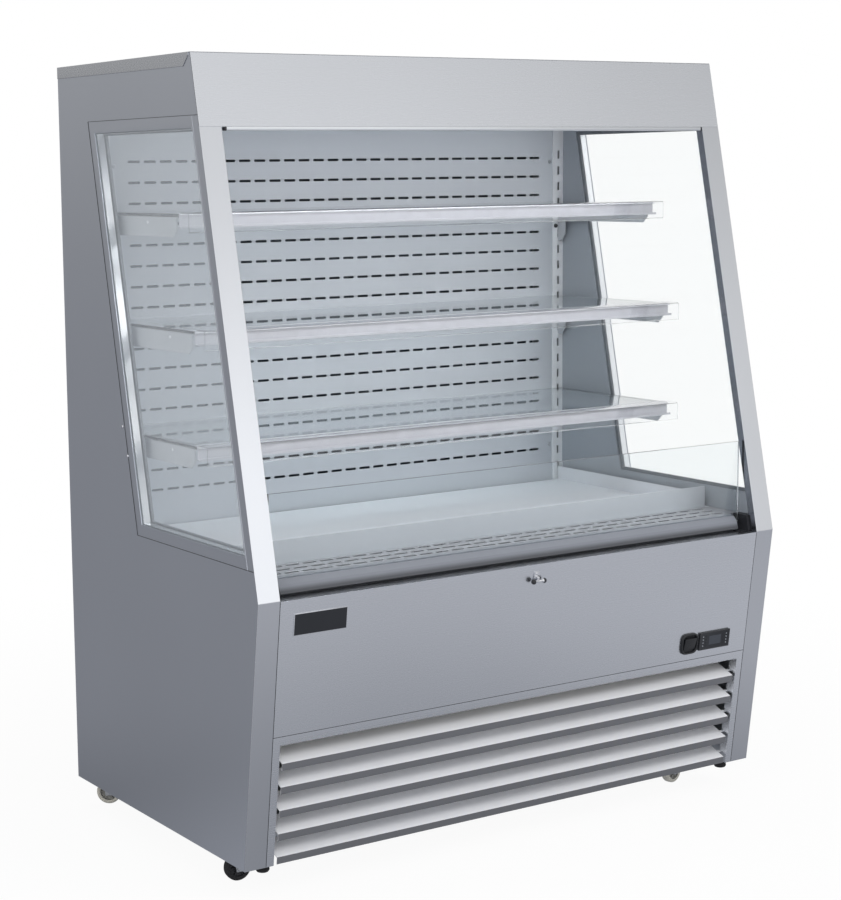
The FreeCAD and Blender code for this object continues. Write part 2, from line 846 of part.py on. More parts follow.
def make_deck_pan():
    """The bottom deck: a lift-out pan with a front stop and low side walls."""
    body = new_body("pan")
    gauge = s.skin_gauge
    half = cavity - s.skin_gauge - s.fit_gap * 2
    front = fold + s.deck_front
    rear = standard_front - s.shelf_back_gap / 2
    path = [(-half, s.ledge_height), (-half, s.deck_height), (half, s.deck_height),
            (half, s.ledge_height)]
    outline = folded(path[::-1], gauge)
    pad(body, "XZ", [outline], front, rear)
    wall = cavity - s.deck_side_inset
    for inside, outside in ((wall - gauge, wall), (-wall, gauge - wall)):
        pad(body, "XZ", [rectangle((inside, s.deck_height - gauge),
                                   (outside, s.deck_height + s.deck_side_height))], front, rear)
    pad(body, "XZ", [rectangle((-wall, s.deck_height - gauge),
                               (wall, s.deck_height + s.deck_stop_height))], front, front + gauge)
    sub_part("deck_pan", body)


def make_return_grille():
    """The lift-out return air grille between the riser and the deck pan."""
    flanges = []
    half = cavity - s.skin_gauge - s.fit_gap * 2
    front = fold + s.riser_profile_back + s.fit_gap
    rear = fold + s.deck_front - s.fit_gap
    top = s.deck_height
    under = top - s.skin_gauge
    left = -(s.return_slot_columns - 1) / 2 * s.return_slot_pitch
    row_pitch = (rear - front) / s.return_slot_rows
    slot = ((left - s.return_slot_length / 2, front + row_pitch / 2 - s.return_slot_width / 2),
            (left + s.return_slot_length / 2, front + row_pitch / 2 + s.return_slot_width / 2))
    sheet_top = slotted_sheet("return_top", ((-half, front), (half, rear)), slot,
                              (s.return_slot_pitch, row_pitch),
                              (s.return_slot_columns, s.return_slot_rows), s.skin_gauge)
    place(sheet_top, 0, 0, under)
    for inside, outside in ((half - s.skin_gauge, half), (-half, s.skin_gauge - half)):
        flange = rectangle((inside, s.ledge_height), (outside, under))
        flanges.append(profile("return_flange", "XZ", [flange], front, rear))
    sub_part("return_grille", joined("return_set", [sheet_top] + flanges))


def make_riser():
    """The glass riser, the profile that holds its foot and the black cheeks at its ends."""
    glass_front = fold + s.riser_front
    glass_back = glass_front + s.riser_glass
    half = s.riser_width / 2
    seat = s.ledge_height
    glass = profile("riser_plate", "YZ", [rectangle((glass_front, seat), (glass_back, s.riser_top))],
                    -half, half)
    sub_part("riser_glass", glass)
    rear = fold + s.riser_profile_back
    nose = fold + s.riser_profile_front
    foot = tank_front
    gap = s.fit_gap
    top = s.cheek_top
    outline = [(rear, ledge), (foot, ledge), (foot, ledge + 4.4), (nose, ledge + 4.4),
               (nose + 5, ledge + 20), (glass_front - gap, top - 1.5), (glass_front - gap, seat),
               (glass_back + gap, seat), (glass_back + gap, top), (rear, top)]
    holder = profile("riser_holder", "YZ", [outline], -s.riser_profile_width / 2,
                     s.riser_profile_width / 2)
    sub_part("riser_profile", holder)
    cheek_in = cavity - s.cheek_width
    cheek = [(lower(ledge, s.pillar_return), ledge), (fold + s.pillar_return, s.kink_height),
             (upper(top, s.pillar_return), top), (rear, top), (rear, ledge)]
    sub_part("end_cheeks", pair("cheek_pair", profile("cheek", "YZ", [cheek], cheek_in, cavity)))


# ---------------------------------------------------------------- front panel and its fittings

def on_slope(height):
    """A vertical distance up the panel measured along its slope."""
    return height / cosine(lower_tilt)


def make_front_panel():
    """The painted panel below the opening, folded back at all edges, with two cut-outs."""
    plate = new_body("panel_plate")
    tall = on_slope(ledge - s.panel_low)
    pad(plate, "XZ", [rectangle((-panel_half, 0), (panel_half, tall))], 0, s.skin_gauge)
    middle = on_slope(s.controller_height - s.panel_low)
    cut_half = s.controller_width / 2 - s.controller_lap_side
    cut_tall = s.controller_tall / 2 - s.controller_lap_end
    cut = rectangle((s.controller_x - cut_half, middle - cut_tall),
                    (s.controller_x + cut_half, middle + cut_tall))
    pocket(plate, "XZ", [cut], 0, s.skin_gauge)
    half = s.rocker_width / 2 + s.switch_margin
    tall_half = s.rocker_tall / 2 + s.switch_margin
    hole = rectangle((s.switch_x - half, middle - tall_half), (s.switch_x + half, middle + tall_half))
    pocket(plate, "XZ", [hole], 0, s.skin_gauge)
    return_depth = s.pillar_return - s.panel_return_gap
    inner_half = panel_half - s.skin_gauge
    for start, end in ((inner_half, panel_half), (-panel_half, -inner_half)):
        pad(plate, "XZ", [rectangle((start, 0), (end, tall - s.panel_return_drop))], 0, return_depth)
    pad(plate, "XZ", [rectangle((-panel_half, 0), (panel_half, s.skin_gauge))], 0, return_depth)
    on_panel(plate, s.panel_low)
    under = ledge - s.skin_gauge
    flange = [(lower(ledge), ledge), (tank_front, ledge), (tank_front, under), (lower(under), under)]
    top = profile("panel_flange", "YZ", [flange], -panel_half, panel_half)
    sub_part("front_panel", joined("panel_set", [plate, top]))


def make_badge_plate():
    """A bare rounded plate."""
    body = new_body("badge")
    right = s.badge_left + s.badge_width
    pad(body, "XZ", [rectangle((s.badge_left, 0), (right, on_slope(s.badge_height)))], -s.badge_gauge, 0)
    sub_part("badge_plate", on_panel(body, s.badge_low))


def make_catch_hook():
    """The catch for the night curtain: a small base, a stem and a rod with ball ends."""
    base = new_body("hook")
    depth = s.hook_stand
    pad(base, "XZ", [rectangle((-7, 2), (5, 17))], -2, 0)
    pad(base, "XZ", [rectangle((-4, -s.hook_rod), (2, 8))], -depth, 0)
    on_panel(base, s.hook_height)
    ball = s.hook_ball
    rod = s.hook_rod
    half = s.hook_half
    outline = [(0, -half - ball), (ball * 0.7, -half - ball * 0.7), (ball, -half), (rod, ball * 0.8 - half),
               (rod, half - ball * 0.8), (ball, half), (ball * 0.7, half + ball * 0.7), (0, half + ball)]
    bar = turned("hook_bar", outline)
    place(bar, 0, lower(s.hook_height) - depth * cosine(lower_tilt),
          s.hook_height - depth * sine(lower_tilt), (0, 1, 0), 90)
    sub_part("catch_hook", joined("hook_set", [base, bar]))


def make_switch():
    """A bezel with a rocker that turns about a level axis."""
    bezel = new_body("bezel")
    half = s.switch_width / 2
    tall = s.switch_tall / 2
    gap = s.fit_gap
    hole = rectangle((s.switch_x - s.rocker_width / 2 - gap, -s.rocker_tall / 2 - 3 * gap),
                     (s.switch_x + s.rocker_width / 2 + gap, s.rocker_tall / 2 + 3 * gap))
    rim = rectangle((s.switch_x - half, -tall), (s.switch_x + half, tall))
    pad(bezel, "XZ", [rim, hole], -2.5, 0)
    wall = rectangle((s.switch_x - s.rocker_width / 2 - 2, -s.rocker_tall / 2 - 2.4),
                     (s.switch_x + s.rocker_width / 2 + 2, s.rocker_tall / 2 + 2.4))
    pad(bezel, "XZ", [wall, hole], -2.5, 12)
    sub_part("switch_bezel", on_panel(bezel, s.switch_height))
    rocker = new_body("rocker")
    reach = s.rocker_tall / 2
    outline = [(-5, -reach), (-3, 0), (-5, reach), (1, reach), (7, reach / 2), (7, -reach / 2),
               (1, -reach)]
    pad(rocker, "YZ", [outline], s.switch_x - s.rocker_width / 2, s.switch_x + s.rocker_width / 2)
    place(rocker, 0, lower(s.switch_height), s.switch_height, (1, 0, 0), lower_tilt - s.rocker_tilt)
    sub_part("switch_rocker", rocker)


def make_controller():
    """The electronic controller: a bezel on the panel and its case behind."""
    body = new_body("control")
    half = s.controller_width / 2
    tall = s.controller_tall / 2
    case_half = half - 5
    case_tall = tall - 4
    pad(body, "XZ", [rectangle((s.controller_x - half, -tall), (s.controller_x + half, tall))], -3, 0)
    pad(body, "XZ", [rectangle((s.controller_x - case_half, -case_tall),
                               (s.controller_x + case_half, case_tall))], 0, s.controller_depth)
    window = s.controller_window / 2
    pocket(body, "XZ", [rectangle((s.controller_x - window, -tall + 7), (s.controller_x + window, tall - 7))],
           -3, -2.2)
    sub_part("controller", on_panel(body, s.controller_height))


def make_grille():
    """The louvred grille: a frame of two stiles and a top rail, and five blades lugged into it."""
    frame = new_body("louvre_frame")
    tall = on_slope(s.panel_low - s.skirt_height)
    rail = tall - on_slope(s.grille_rail)
    inside = panel_half - s.stile_width
    outline = [(-panel_half, 0), (-panel_half, tall), (panel_half, tall), (panel_half, 0),
               (inside, 0), (inside, rail), (-inside, rail), (-inside, 0)]
    pad(frame, "XZ", [outline], 0, s.skin_gauge)
    for near, far in ((inside, inside + s.skin_gauge), (-inside - s.skin_gauge, -inside)):
        pad(frame, "XZ", [rectangle((near, 0), (far, rail + s.skin_gauge))], 0, s.stile_return)
    drop = [(0, rail), (s.stile_return / 2, rail - 6), (s.stile_return / 2, rail - 6 + s.skin_gauge),
            (s.skin_gauge, rail + s.skin_gauge), (0, rail + s.skin_gauge)]
    pad(frame, "YZ", [drop], -inside, inside)
    sub_part("grille_frame", on_panel(frame, s.skirt_height))
    blades = []
    for number in range(int(s.blade_count.value)):
        blades.append(make_blade(s.blade_top - s.blade_pitch * number, inside))
    sub_part("grille_blades", together("blade_set", blades))


def make_blade(top, inside):
    """One blade: an upright face, then a slope that goes back and up. Lugs reach the stiles."""
    gauge = s.skin_gauge
    face = lower(top)
    slope = s.blade_rise / s.blade_run
    end = face + s.blade_run
    blade = new_body("blade")
    outline = [(lower(top - s.blade_face), top - s.blade_face), (face, top), (end, top + s.blade_rise),
               (end, top + s.blade_rise - gauge), (face + gauge, top - gauge),
               (lower(top - s.blade_face, gauge), top - s.blade_face)]
    pad(blade, "YZ", [outline], s.blade_gap - inside, inside - s.blade_gap)
    near = face + s.lug_front
    far = face + s.lug_back
    lug = [(near, top + s.lug_front * slope - gauge), (near, top + s.lug_front * slope),
           (far, top + s.lug_back * slope), (far, top + s.lug_back * slope - gauge)]
    pad(blade, "YZ", [lug], -inside, inside)
    return blade


# ---------------------------------------------------------------- base and casters

def make_base_tray():
    """The base: a folded tray that carries the machine and the casters, with two front tabs."""
    body = new_body("tray")
    low = s.caster_height
    front = fold + s.tray_front
    floor = rectangle((-skin_in, front), (skin_in, rear_in))
    inner = rectangle((s.tray_gauge - skin_in, front + s.tray_gauge),
                      (skin_in - s.tray_gauge, rear_in - s.tray_gauge))
    pad(body, "XY", [floor], low, low + s.tray_wall)
    pocket(body, "XY", [inner], low + s.tray_gauge, low + s.tray_wall)
    tab_front = lower(low, s.stile_return + s.fit_gap)
    for side in (-1, 1):
        left = s.pad_x * side - s.pad_radius
        right = s.pad_x * side + s.pad_radius
        tab = rectangle((left, tab_front), (right, front + s.tray_gauge))
        pad(body, "XY", [tab], low, low + s.tray_gauge)
    sub_part("base_tray", body)
    pad_top = s.pad_bottom + s.pad_height
    rest = turned("front_pad", [(0, s.pad_bottom), (s.pad_radius, s.pad_bottom), (s.pad_radius, pad_top),
                                (s.pad_stud, pad_top), (s.pad_stud, low), (0, low)])
    place(rest, s.pad_x, fold + s.pad_back, 0)
    sub_part("front_pads", pair("pad_pair", rest))


CASTERS = {
    # name: (side, front, where the wheel trails: degrees round from +X)
    "front_left": (-1, True, 173.7),
    "front_right": (1, True, 192.5),
    "rear_left": (-1, False, 144.5),
    "rear_right": (1, False, 157.4),
}


def caster_spot(name):
    side, front, angle = CASTERS[name]
    spot_y = fold + s.front_caster if front else back - s.rear_caster
    return s.caster_x * side, spot_y, angle


def make_casters():
    """Four swivel casters: plate, fork and wheel, and a brake pedal on each front one."""
    plates = []
    for name in CASTERS:
        x, y, angle = caster_spot(name)
        plate = new_body("caster_mount")
        half = s.caster_plate / 2
        top = s.caster_height
        under = top - s.caster_plate_gauge
        pad(plate, "XY", [rectangle((-half, -half), (half, half))], under, top)
        place(plate, x, y, 0)
        plates.append(plate)
        fork = make_fork(under)
        sub_part(f"caster_fork_{name}", place(fork, x, y, 0, (0, 0, 1), angle))
        wheel = make_wheel()
        sub_part(f"caster_wheel_{name}", place(wheel, x, y, 0, (0, 0, 1), angle))
        if CASTERS[name][1]:
            pedal = make_pedal()
            sub_part(f"brake_pedal_{name}", place(pedal, x, y, 0, (0, 0, 1), angle))
    sub_part("caster_plates", together("caster_mount_set", plates))


def make_fork(under):
    """Two legs from a bridge to the axle, with the swivel race on top."""
    fork = new_body("fork")
    axle = s.wheel_radius
    bridge = axle * 2 + 4
    gauge = s.fork_gauge
    inside = s.fork_inside / 2
    leg = [(-s.race_radius, bridge + gauge), (s.trail, bridge + gauge), (s.trail + 8, axle + 6),
           (s.trail + 6, axle - 6), (s.trail - 6, axle - 6), (-s.race_radius, bridge - 8)]
    pad(fork, "XZ", [leg], inside, inside + gauge)
    bridge_plate = rectangle((-s.race_radius, -inside - gauge), (s.race_radius, inside + gauge))
    pad(fork, "XY", [bridge_plate], bridge, bridge + gauge)
    pad(fork, "XZ", [leg], -inside - gauge, -inside)
    pad(fork, "XZ", [Circle(s.trail, axle, s.axle_radius)], -inside - gauge * 2, inside + gauge * 2)
    pad(fork, "XY", [Circle(0, 0, s.race_radius)], bridge + gauge, under - s.fit_gap)
    return fork


def make_wheel():
    """A tyred wheel with a raised hub, bored for the axle."""
    wheel = new_body("wheel")
    axle = s.wheel_radius
    half = s.wheel_width / 2
    hub = s.fork_inside / 2 - s.fit_gap
    bore = Circle(s.trail, axle, s.axle_radius + s.fit_gap * 0.75)
    pad(wheel, "XZ", [Circle(s.trail, axle, s.wheel_radius), bore], -half, half)
    pad(wheel, "XZ", [Circle(s.trail, axle, s.axle_radius + 4), bore], -hub, hub)
    return wheel


def make_pedal():
    """The brake pedal, hinged between the fork's legs over the wheel."""
    pedal = new_body("pedal")
    axle = s.wheel_radius
    width = s.fork_inside / 2 - s.fit_gap
    tail = s.trail - 5
    outline = [(tail - 3, axle * 2 + 4), (tail, axle * 2 + 6), (tail + 10, axle * 2 + 6),
               (tail + 26, axle * 2 - 2), (tail + 30, axle + 17), (tail + 28, axle + 13.5),
               (tail + 24, axle + 19), (tail + 18, axle * 2 - 1), (tail + 8, axle * 2 + 1.5),
               (tail, axle * 2 + 1.2)]
    pad(pedal, "XZ", [outline], -width, width)
    return pedal


# ---------------------------------------------------------------- night curtain, outlet and lamp

def make_curtain():
    """The roller, the free cloth and the pull bar under the fascia."""
    centre_y = fold + s.roller_back
    height = s.roller_height
    radius = s.roller_radius
    roller = new_body("roll")
    pad(roller, "YZ", [Circle(centre_y, height, radius)], -s.roller_half, s.roller_half)
    tip = cavity - s.fit_gap * 2
    pad(roller, "YZ", [Circle(centre_y, height, s.roller_pin)], -tip, tip)
    sub_part("roller", roller)
    bar_top = s.fascia_low - s.fit_gap
    bar_low = bar_top - s.bar_height
    middle = upper(bar_top)
    fin_top = bar_top + s.bar_fin
    fin_back = upper(fin_top, s.skin_gauge * 2.5)
    fin_front = fin_back - 1
    half = s.bar_depth / 2
    bar = new_body("bar")
    outline = [(middle - half, bar_low + 1.5), (middle - half, bar_top - 1.5), (middle - half + 1.5, bar_top),
               (middle + half - 1.5, bar_top), (middle + half, bar_top - 1.5),
               (middle + half, bar_low + 1.5), (middle + half - 1.5, bar_low), (middle - half + 1.5, bar_low)]
    pad(bar, "YZ", [outline], -s.bar_width / 2, s.bar_width / 2)
    cap = rectangle((middle - half + 0.5, bar_low + 0.5), (middle + half - 0.5, bar_top - 0.5))
    pad(bar, "YZ", [cap], -s.bar_width / 2 - s.bar_cap, s.bar_width / 2 + s.bar_cap)
    pad(bar, "YZ", [rectangle((fin_front, bar_low + 2), (fin_back, fin_top))],
        -s.cloth_width / 2, s.cloth_width / 2)
    sub_part("pull_bar", bar)
    leave = centre_y - radius - s.fit_gap
    cloth = [(leave, height - 4), (leave - s.cloth_gauge, height - 4),
             (fin_back - 0.9, fin_top), (fin_back - 0.1, fin_top)]
    sub_part("curtain", profile("cloth", "YZ", [cloth], -s.cloth_width / 2, s.cloth_width / 2))


def outlet_back():
    return air_front + s.air_panel_gauge - s.air_ceiling_depth


def make_air_outlet():
    """The honeycomb air outlet with its upright wall, and the bearings that hold the roller."""
    body = new_body("outlet")
    rear = outlet_back()
    front = rear - s.outlet_depth
    low = s.air_ceiling - 6
    half = cavity - s.skin_gauge - s.fit_gap * 2
    pad(body, "XY", [rectangle((-half, front), (half, rear))], low, low + s.outlet_height)
    pad(body, "YZ", [rectangle((front, low), (front + s.skin_gauge, s.cavity_ceiling - s.skin_gauge))],
        -half, half)
    left = -(s.outlet_cells - 1) / 2 * s.outlet_pitch
    cell = rectangle((left - s.outlet_cell / 2, front + 2), (left + s.outlet_cell / 2, rear - 2))
    first = pocket(body, "XY", [cell], low, low + s.outlet_height)
    repeated(body, first, [("X_Axis", s.outlet_pitch, s.outlet_cells, False)])
    centre_y = fold + s.roller_back
    block = rectangle((centre_y - 12, s.roller_height - 14), (centre_y + 12, s.cavity_ceiling - s.skin_gauge))
    hole = Circle(centre_y, s.roller_height, s.roller_pin + s.fit_gap * 0.75)
    bearing = profile("bearing", "YZ", [block, hole], cavity - 10, cavity)
    sub_part("air_outlet", together("outlet_set", [body, bearing, mirrored(bearing)]))


def make_lamp():
    """The lamp under the ceiling, behind the outlet."""
    front = outlet_back() + 6
    rear = front + s.lamp_depth
    low = s.air_ceiling - s.lamp_height
    outline = [(front, s.air_ceiling), (front, low + 5), (front + 4, low), (rear - 4, low),
               (rear, low + 5), (rear, s.air_ceiling)]
    sub_part("lamp", profile("lamp_case", "YZ", [outline], -s.lamp_width / 2, s.lamp_width / 2))


# ---------------------------------------------------------------- refrigeration

def tray_floor():
    return s.caster_height + s.tray_gauge


def make_compressor():
    """A hermetic shell on a footed base plate."""
    radius = s.compressor_radius
    low = tray_floor() + 14
    tall = s.compressor_height
    shell = turned("shell", [(0, low), (radius * 0.7, low), (radius, low + tall * 0.2),
                             (radius, low + tall * 0.75), (radius * 0.7, low + tall), (0, low + tall)])
    place(shell, s.compressor_x, s.compressor_y, 0)
    base = new_body("base_plate")
    reach = radius * 1.2
    pad(base, "XY", [rectangle((-reach, -reach), (reach, reach))], low - 3, low + 1)
    for across in (-1, 1):
        for along in (-1, 1):
            foot_x = reach * across * 0.85
            foot_y = reach * along * 0.85
            foot = rectangle((foot_x - 9, foot_y - 9), (foot_x + 9, foot_y + 9))
            pad(base, "XY", [foot], tray_floor(), low - 2)
    place(base, s.compressor_x, s.compressor_y, 0)
    sub_part("compressor", joined("compressor_set", [shell, base]))


def fan_centre():
    return tray_floor() + s.condenser_height / 2


def make_condenser():
    """A finned coil block with the shroud, the motor and its arms behind it."""
    block = new_body("coil_block")
    half = s.condenser_width / 2
    low = tray_floor()
    high = low + s.condenser_height
    front = fold + s.condenser_back
    rear = front + s.condenser_depth
    left = s.condenser_x - half
    right = s.condenser_x + half
    pad(block, "XZ", [rectangle((left, low), (right, high))], front, rear)
    pitch = (s.condenser_width - 16) / s.fin_count
    groove = rectangle((left + 8, low + 8), (left + 8 + pitch / 2, high - 8))
    first = pocket(block, "XZ", [groove], front, front + 6)
    repeated(block, first, [("X_Axis", pitch, s.fin_count, False)])
    centre = fan_centre()
    ring_out = Circle(s.condenser_x, centre, s.fan_radius + 6)
    ring_in = Circle(s.condenser_x, centre, s.fan_radius + 3)
    motor_back = rear + 46
    pad(block, "XZ", [ring_out, ring_in], rear - 1, motor_back)
    reach = s.fan_radius + s.fan_arm_lap
    arm = rectangle((s.condenser_x - reach, centre - s.fan_arm_half),
                    (s.condenser_x + reach, centre + s.fan_arm_half))
    pad(block, "XZ", [arm], motor_back - 4, motor_back)
    pad(block, "XZ", [Circle(s.condenser_x, centre, s.fan_hub + 4)], motor_back - 14, motor_back + 30)
    shaft_tip = rear + s.rotor_gap + s.fan_hub / 3 + s.fit_gap * 0.75
    pad(block, "XZ", [Circle(s.condenser_x, centre, s.fan_shaft)], shaft_tip, motor_back)
    sub_part("condenser", block)
    rotor = make_rotor("cooling_rotor", s.fan_hub, s.fan_radius, int(s.fan_blades.value))
    place(rotor, s.condenser_x, rear + s.rotor_gap, centre)
    sub_part("fan_rotor", rotor)


def make_rotor(name, hub, radius, blades):
    """A hub with pitched blades, turning about the Y axis."""
    half = hub / 3
    body = new_body(name)
    pad(body, "XZ", [Circle(0, 0, hub)], -half, half)
    pieces = [body]
    for number in range(blades):
        blade = new_body(name + "_blade")
        pad(blade, "XZ", [[(-hub / 3, hub * 0.7), (hub / 3, hub * 0.7), (radius * 0.36, radius * 0.88),
                           (radius * 0.12, radius), (-radius * 0.2, radius * 0.92)]], -1, 1)
        spin = FreeCAD.Rotation(FreeCAD.Vector(0, 1, 0), 360 / blades * number)
        lean = FreeCAD.Rotation(FreeCAD.Vector(0, 0, 1), 24)
        blade.Placement = FreeCAD.Placement(FreeCAD.Vector(), spin.multiply(lean))
        pieces.append(blade)
    return joined(name + "_set", pieces)


def make_evaporator():
    """The cold coil in the tank, and the plate in front of it with its fan motor."""
    floor = s.tank_floor + s.skin_gauge
    half = s.coil_width / 2
    coil = new_body("cold_coil")
    rear = air_front - 30
    front = rear - s.coil_depth
    coil_low = floor + s.coil_feet
    pad(coil, "XZ", [rectangle((-half, coil_low), (half, coil_low + s.coil_height))], front, rear)
    for side in (-1, 1):
        plate = rectangle((half * side - 2, floor), (half * side + 2, floor + s.coil_height + 8))
        pad(coil, "XZ", [plate], front - 4, rear + 4)
    wall = new_body("fan_wall")
    wall_half = cavity - s.skin_gauge * 2
    centre = floor + s.coil_height / 2 + 4
    wall_back = front - 30
    opening = Circle(0, centre, s.tank_fan_radius + 2)
    pad(wall, "XZ", [rectangle((-wall_half, floor), (wall_half, floor + s.coil_height + 12)), opening],
        wall_back - 1.5, wall_back)
    arm = rectangle((-4, centre - s.tank_fan_radius - 4), (4, centre + s.tank_fan_radius + 4))
    pad(wall, "XZ", [arm], wall_back - 1.5 + 0.5, wall_back + 14)
    pocket(wall, "XZ", [rectangle((-5, centre - s.tank_fan_radius - 1), (5, centre + s.tank_fan_radius + 1))],
           wall_back - 2, wall_back + 11)
    pad(wall, "XZ", [Circle(0, centre, s.tank_fan_hub)], wall_back + 11, wall_back + 26)
    shaft_tip = wall_back + s.tank_fan_hub / 3 + s.fit_gap * 0.75
    pad(wall, "XZ", [Circle(0, centre, s.fan_shaft)], shaft_tip, wall_back + 12)
    sub_part("evaporator", together("evaporator_set", [coil, wall]))
    rotor = make_rotor("tank_rotor", s.tank_fan_hub, s.tank_fan_radius, int(s.fan_blades.value))
    place(rotor, 0, wall_back, centre)
    sub_part("evaporator_rotor", rotor)


def gland_x():
    return s.condenser_x - 60


def gland_height():
    return tray_floor() + s.box_height / 2


def make_drip_tray():
    """The tray under the coil that the melt water runs into."""
    floor = tray_floor()
    left = s.tray_gauge * 4 - skin_in
    near = rear_in - s.tray_gauge - s.drip_depth - 30
    drip = new_body("drip")
    pad(drip, "XY", [rectangle((left, near), (left + s.drip_width, near + s.drip_depth))],
        floor, floor + s.drip_height)
    pocket(drip, "XY", [rectangle((left + 1.5, near + 1.5),
                                  (left + s.drip_width - 1.5, near + s.drip_depth - 1.5))],
           floor + 1.5, floor + s.drip_height)
    sub_part("drain_tray", drip)


def make_electrical_box():
    """The terminal box on the tray, with its mains gland through the rear sheet."""
    box = new_body("terminal_box")
    wall = rear_in - s.tray_gauge
    left = gland_x() - s.box_width / 4
    floor = tray_floor()
    pad(box, "XY", [rectangle((left, wall - s.box_depth), (left + s.box_width, wall))],
        floor, floor + s.box_height)
    pad(box, "XZ", [Circle(gland_x(), gland_height(), s.pipe_radius * 2)], wall - 1, back + 6)
    sub_part("electrical_box", box)


def pipe(name, corners):
    """A round pipe along straight runs joined by bends."""
    bend = s.pipe_radius.value * 3
    points = [FreeCAD.Vector(*[sized(value).value for value in corner]) for corner in corners]
    edges = []
    start = points[0]
    for before, corner, after in zip(points, points[1:], points[2:]):
        towards = (before - corner).normalize()
        away = (after - corner).normalize()
        reach = bend / math.tan(towards.getAngle(away) / 2)
        first = corner + towards * reach
        last = corner + away * reach
        inward = (towards + away).normalize()
        centre = corner + inward * (bend / math.sin(towards.getAngle(away) / 2))
        middle = centre - inward * bend
        edges.append(Part.makeLine(start, first))
        edges.append(Part.Arc(first, middle, last).toShape())
        start = last
    edges.append(Part.makeLine(start, points[-1]))
    path = Part.Wire(edges)
    section = Part.Wire(Part.makeCircle(s.pipe_radius.value, points[0], points[1] - points[0]))
    item = doc.addObject("Part::Feature", name)
    item.Shape = path.makePipeShell([section], True, False)
    return item


def make_pipework():
    """Discharge pipe to the condenser, and the suction pipe up through the floor to the coil."""
    shell_top = tray_floor() + 14 + s.compressor_height
    floor = s.tank_floor + s.skin_gauge
    condenser_y = fold + s.condenser_back + s.condenser_depth / 2
    condenser_right = s.condenser_x + s.condenser_width / 2
    high = tray_floor() + s.condenser_height - s.pipe_radius * 3
    discharge = pipe("discharge", [(s.compressor_x - 30, s.compressor_y, shell_top),
                                   (s.compressor_x - 30, s.compressor_y, high),
                                   (s.compressor_x - 30, condenser_y, high),
                                   (condenser_right, condenser_y, high)])
    radius = s.pipe_radius
    suction_x = s.compressor_x + 30
    suction = profile("suction", "XY", [Circle(suction_x, s.compressor_y, radius)], shell_top, foam_floor)
    stub = profile("stub", "XY", [Circle(suction_x, s.compressor_y, radius)], floor, floor + s.coil_feet)
    sub_part("pipework", together("pipe_set", [discharge, suction, stub]))


def check_and_write():
    """Looks at every object before anything is written, then writes one file a node."""
    doc.recompute()
    for item in doc.Objects:
        if "Invalid" in item.State or "Error" in item.State:
            raise RuntimeError(f"{item.Label} failed: {item.State}")
    for item in sub_parts:
        if item.Shape.isNull() or not item.Shape.isValid():
            raise RuntimeError(f"{item.Label} has no valid shape")
    for item in sub_parts:
        item.Shape.exportStep(f"parts/{item.Label}.step")
    print(len(sub_parts), "nodes written")


make_side_skins()
make_windows()
make_side_liners()
make_insulation()
make_cavity_liner()
make_pillars()
make_fascia()
make_top_cover()
make_rear_skin()
make_air_panel()
make_standards()
for shelf_level in range(3):
    make_shelf(shelf_level)
make_brackets()
make_deck_pan()
make_return_grille()
make_riser()
make_front_panel()
make_badge_plate()
make_catch_hook()
make_switch()
make_controller()
make_grille()
make_base_tray()
make_casters()
make_curtain()
make_air_outlet()
make_lamp()
make_compressor()
make_condenser()
make_evaporator()
make_drip_tray()
make_electrical_box()
make_pipework()
check_and_write()
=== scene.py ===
# %% [markdown]
# # Dressing an open display fridge
#
# The imported model is a fixed frame: every sheet, pane and caster already stands where it belongs, in metres.
# This lesson gives it its looks. Each step says why it is there, then does one thing and prints what it made.
#
# First comes the frame. The finished picture must not grow out of it.

import math

import bmesh
import bpy
from mathutils import Matrix, Vector


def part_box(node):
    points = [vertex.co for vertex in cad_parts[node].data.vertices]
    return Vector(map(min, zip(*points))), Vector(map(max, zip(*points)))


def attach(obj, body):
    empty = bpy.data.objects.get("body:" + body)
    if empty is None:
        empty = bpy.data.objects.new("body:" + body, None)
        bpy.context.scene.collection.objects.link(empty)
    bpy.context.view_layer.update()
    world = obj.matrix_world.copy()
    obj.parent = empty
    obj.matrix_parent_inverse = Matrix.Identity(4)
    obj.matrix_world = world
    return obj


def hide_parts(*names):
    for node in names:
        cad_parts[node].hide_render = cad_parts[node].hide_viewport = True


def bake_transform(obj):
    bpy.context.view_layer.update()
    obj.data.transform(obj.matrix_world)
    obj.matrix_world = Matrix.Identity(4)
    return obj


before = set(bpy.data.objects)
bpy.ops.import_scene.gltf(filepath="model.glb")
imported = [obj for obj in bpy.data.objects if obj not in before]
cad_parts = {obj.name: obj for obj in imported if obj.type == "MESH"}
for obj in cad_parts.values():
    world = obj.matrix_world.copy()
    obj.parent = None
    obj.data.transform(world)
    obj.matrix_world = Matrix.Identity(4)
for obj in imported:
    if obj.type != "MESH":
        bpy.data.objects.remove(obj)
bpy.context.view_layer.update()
MM = 0.001
FOLD_Z = 550 * MM
CROWN_Z = 1482 * MM
SKIN_HALF = 599.8 * MM              # half the width over the side skins, without the pressed window rims
print("nodes in the frame:", len(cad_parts))

# %% [markdown]
# ## The camera
#
# The photograph was taken from the left of the cabinet and a little above its middle. The camera's place,
# direction and lens come from a fit of the cabinet's straight edges, so they are real sizes and real angles.
# The lens axis is left of the picture's middle, because the photograph is a cut of a wider picture.

# %% Camera
CAMERA_PLACE = Vector((-2.2473, -3.1913, 1.2729))
CAMERA_TURN = math.radians(31.965)      # from +Y towards +X
CAMERA_TILT = math.radians(-7.506)      # below the horizon
CAMERA_ROLL = math.radians(-0.776)
LENS = 78.85                            # millimetres on a sensor of 36
SHIFT = (0.1198, -0.0195)


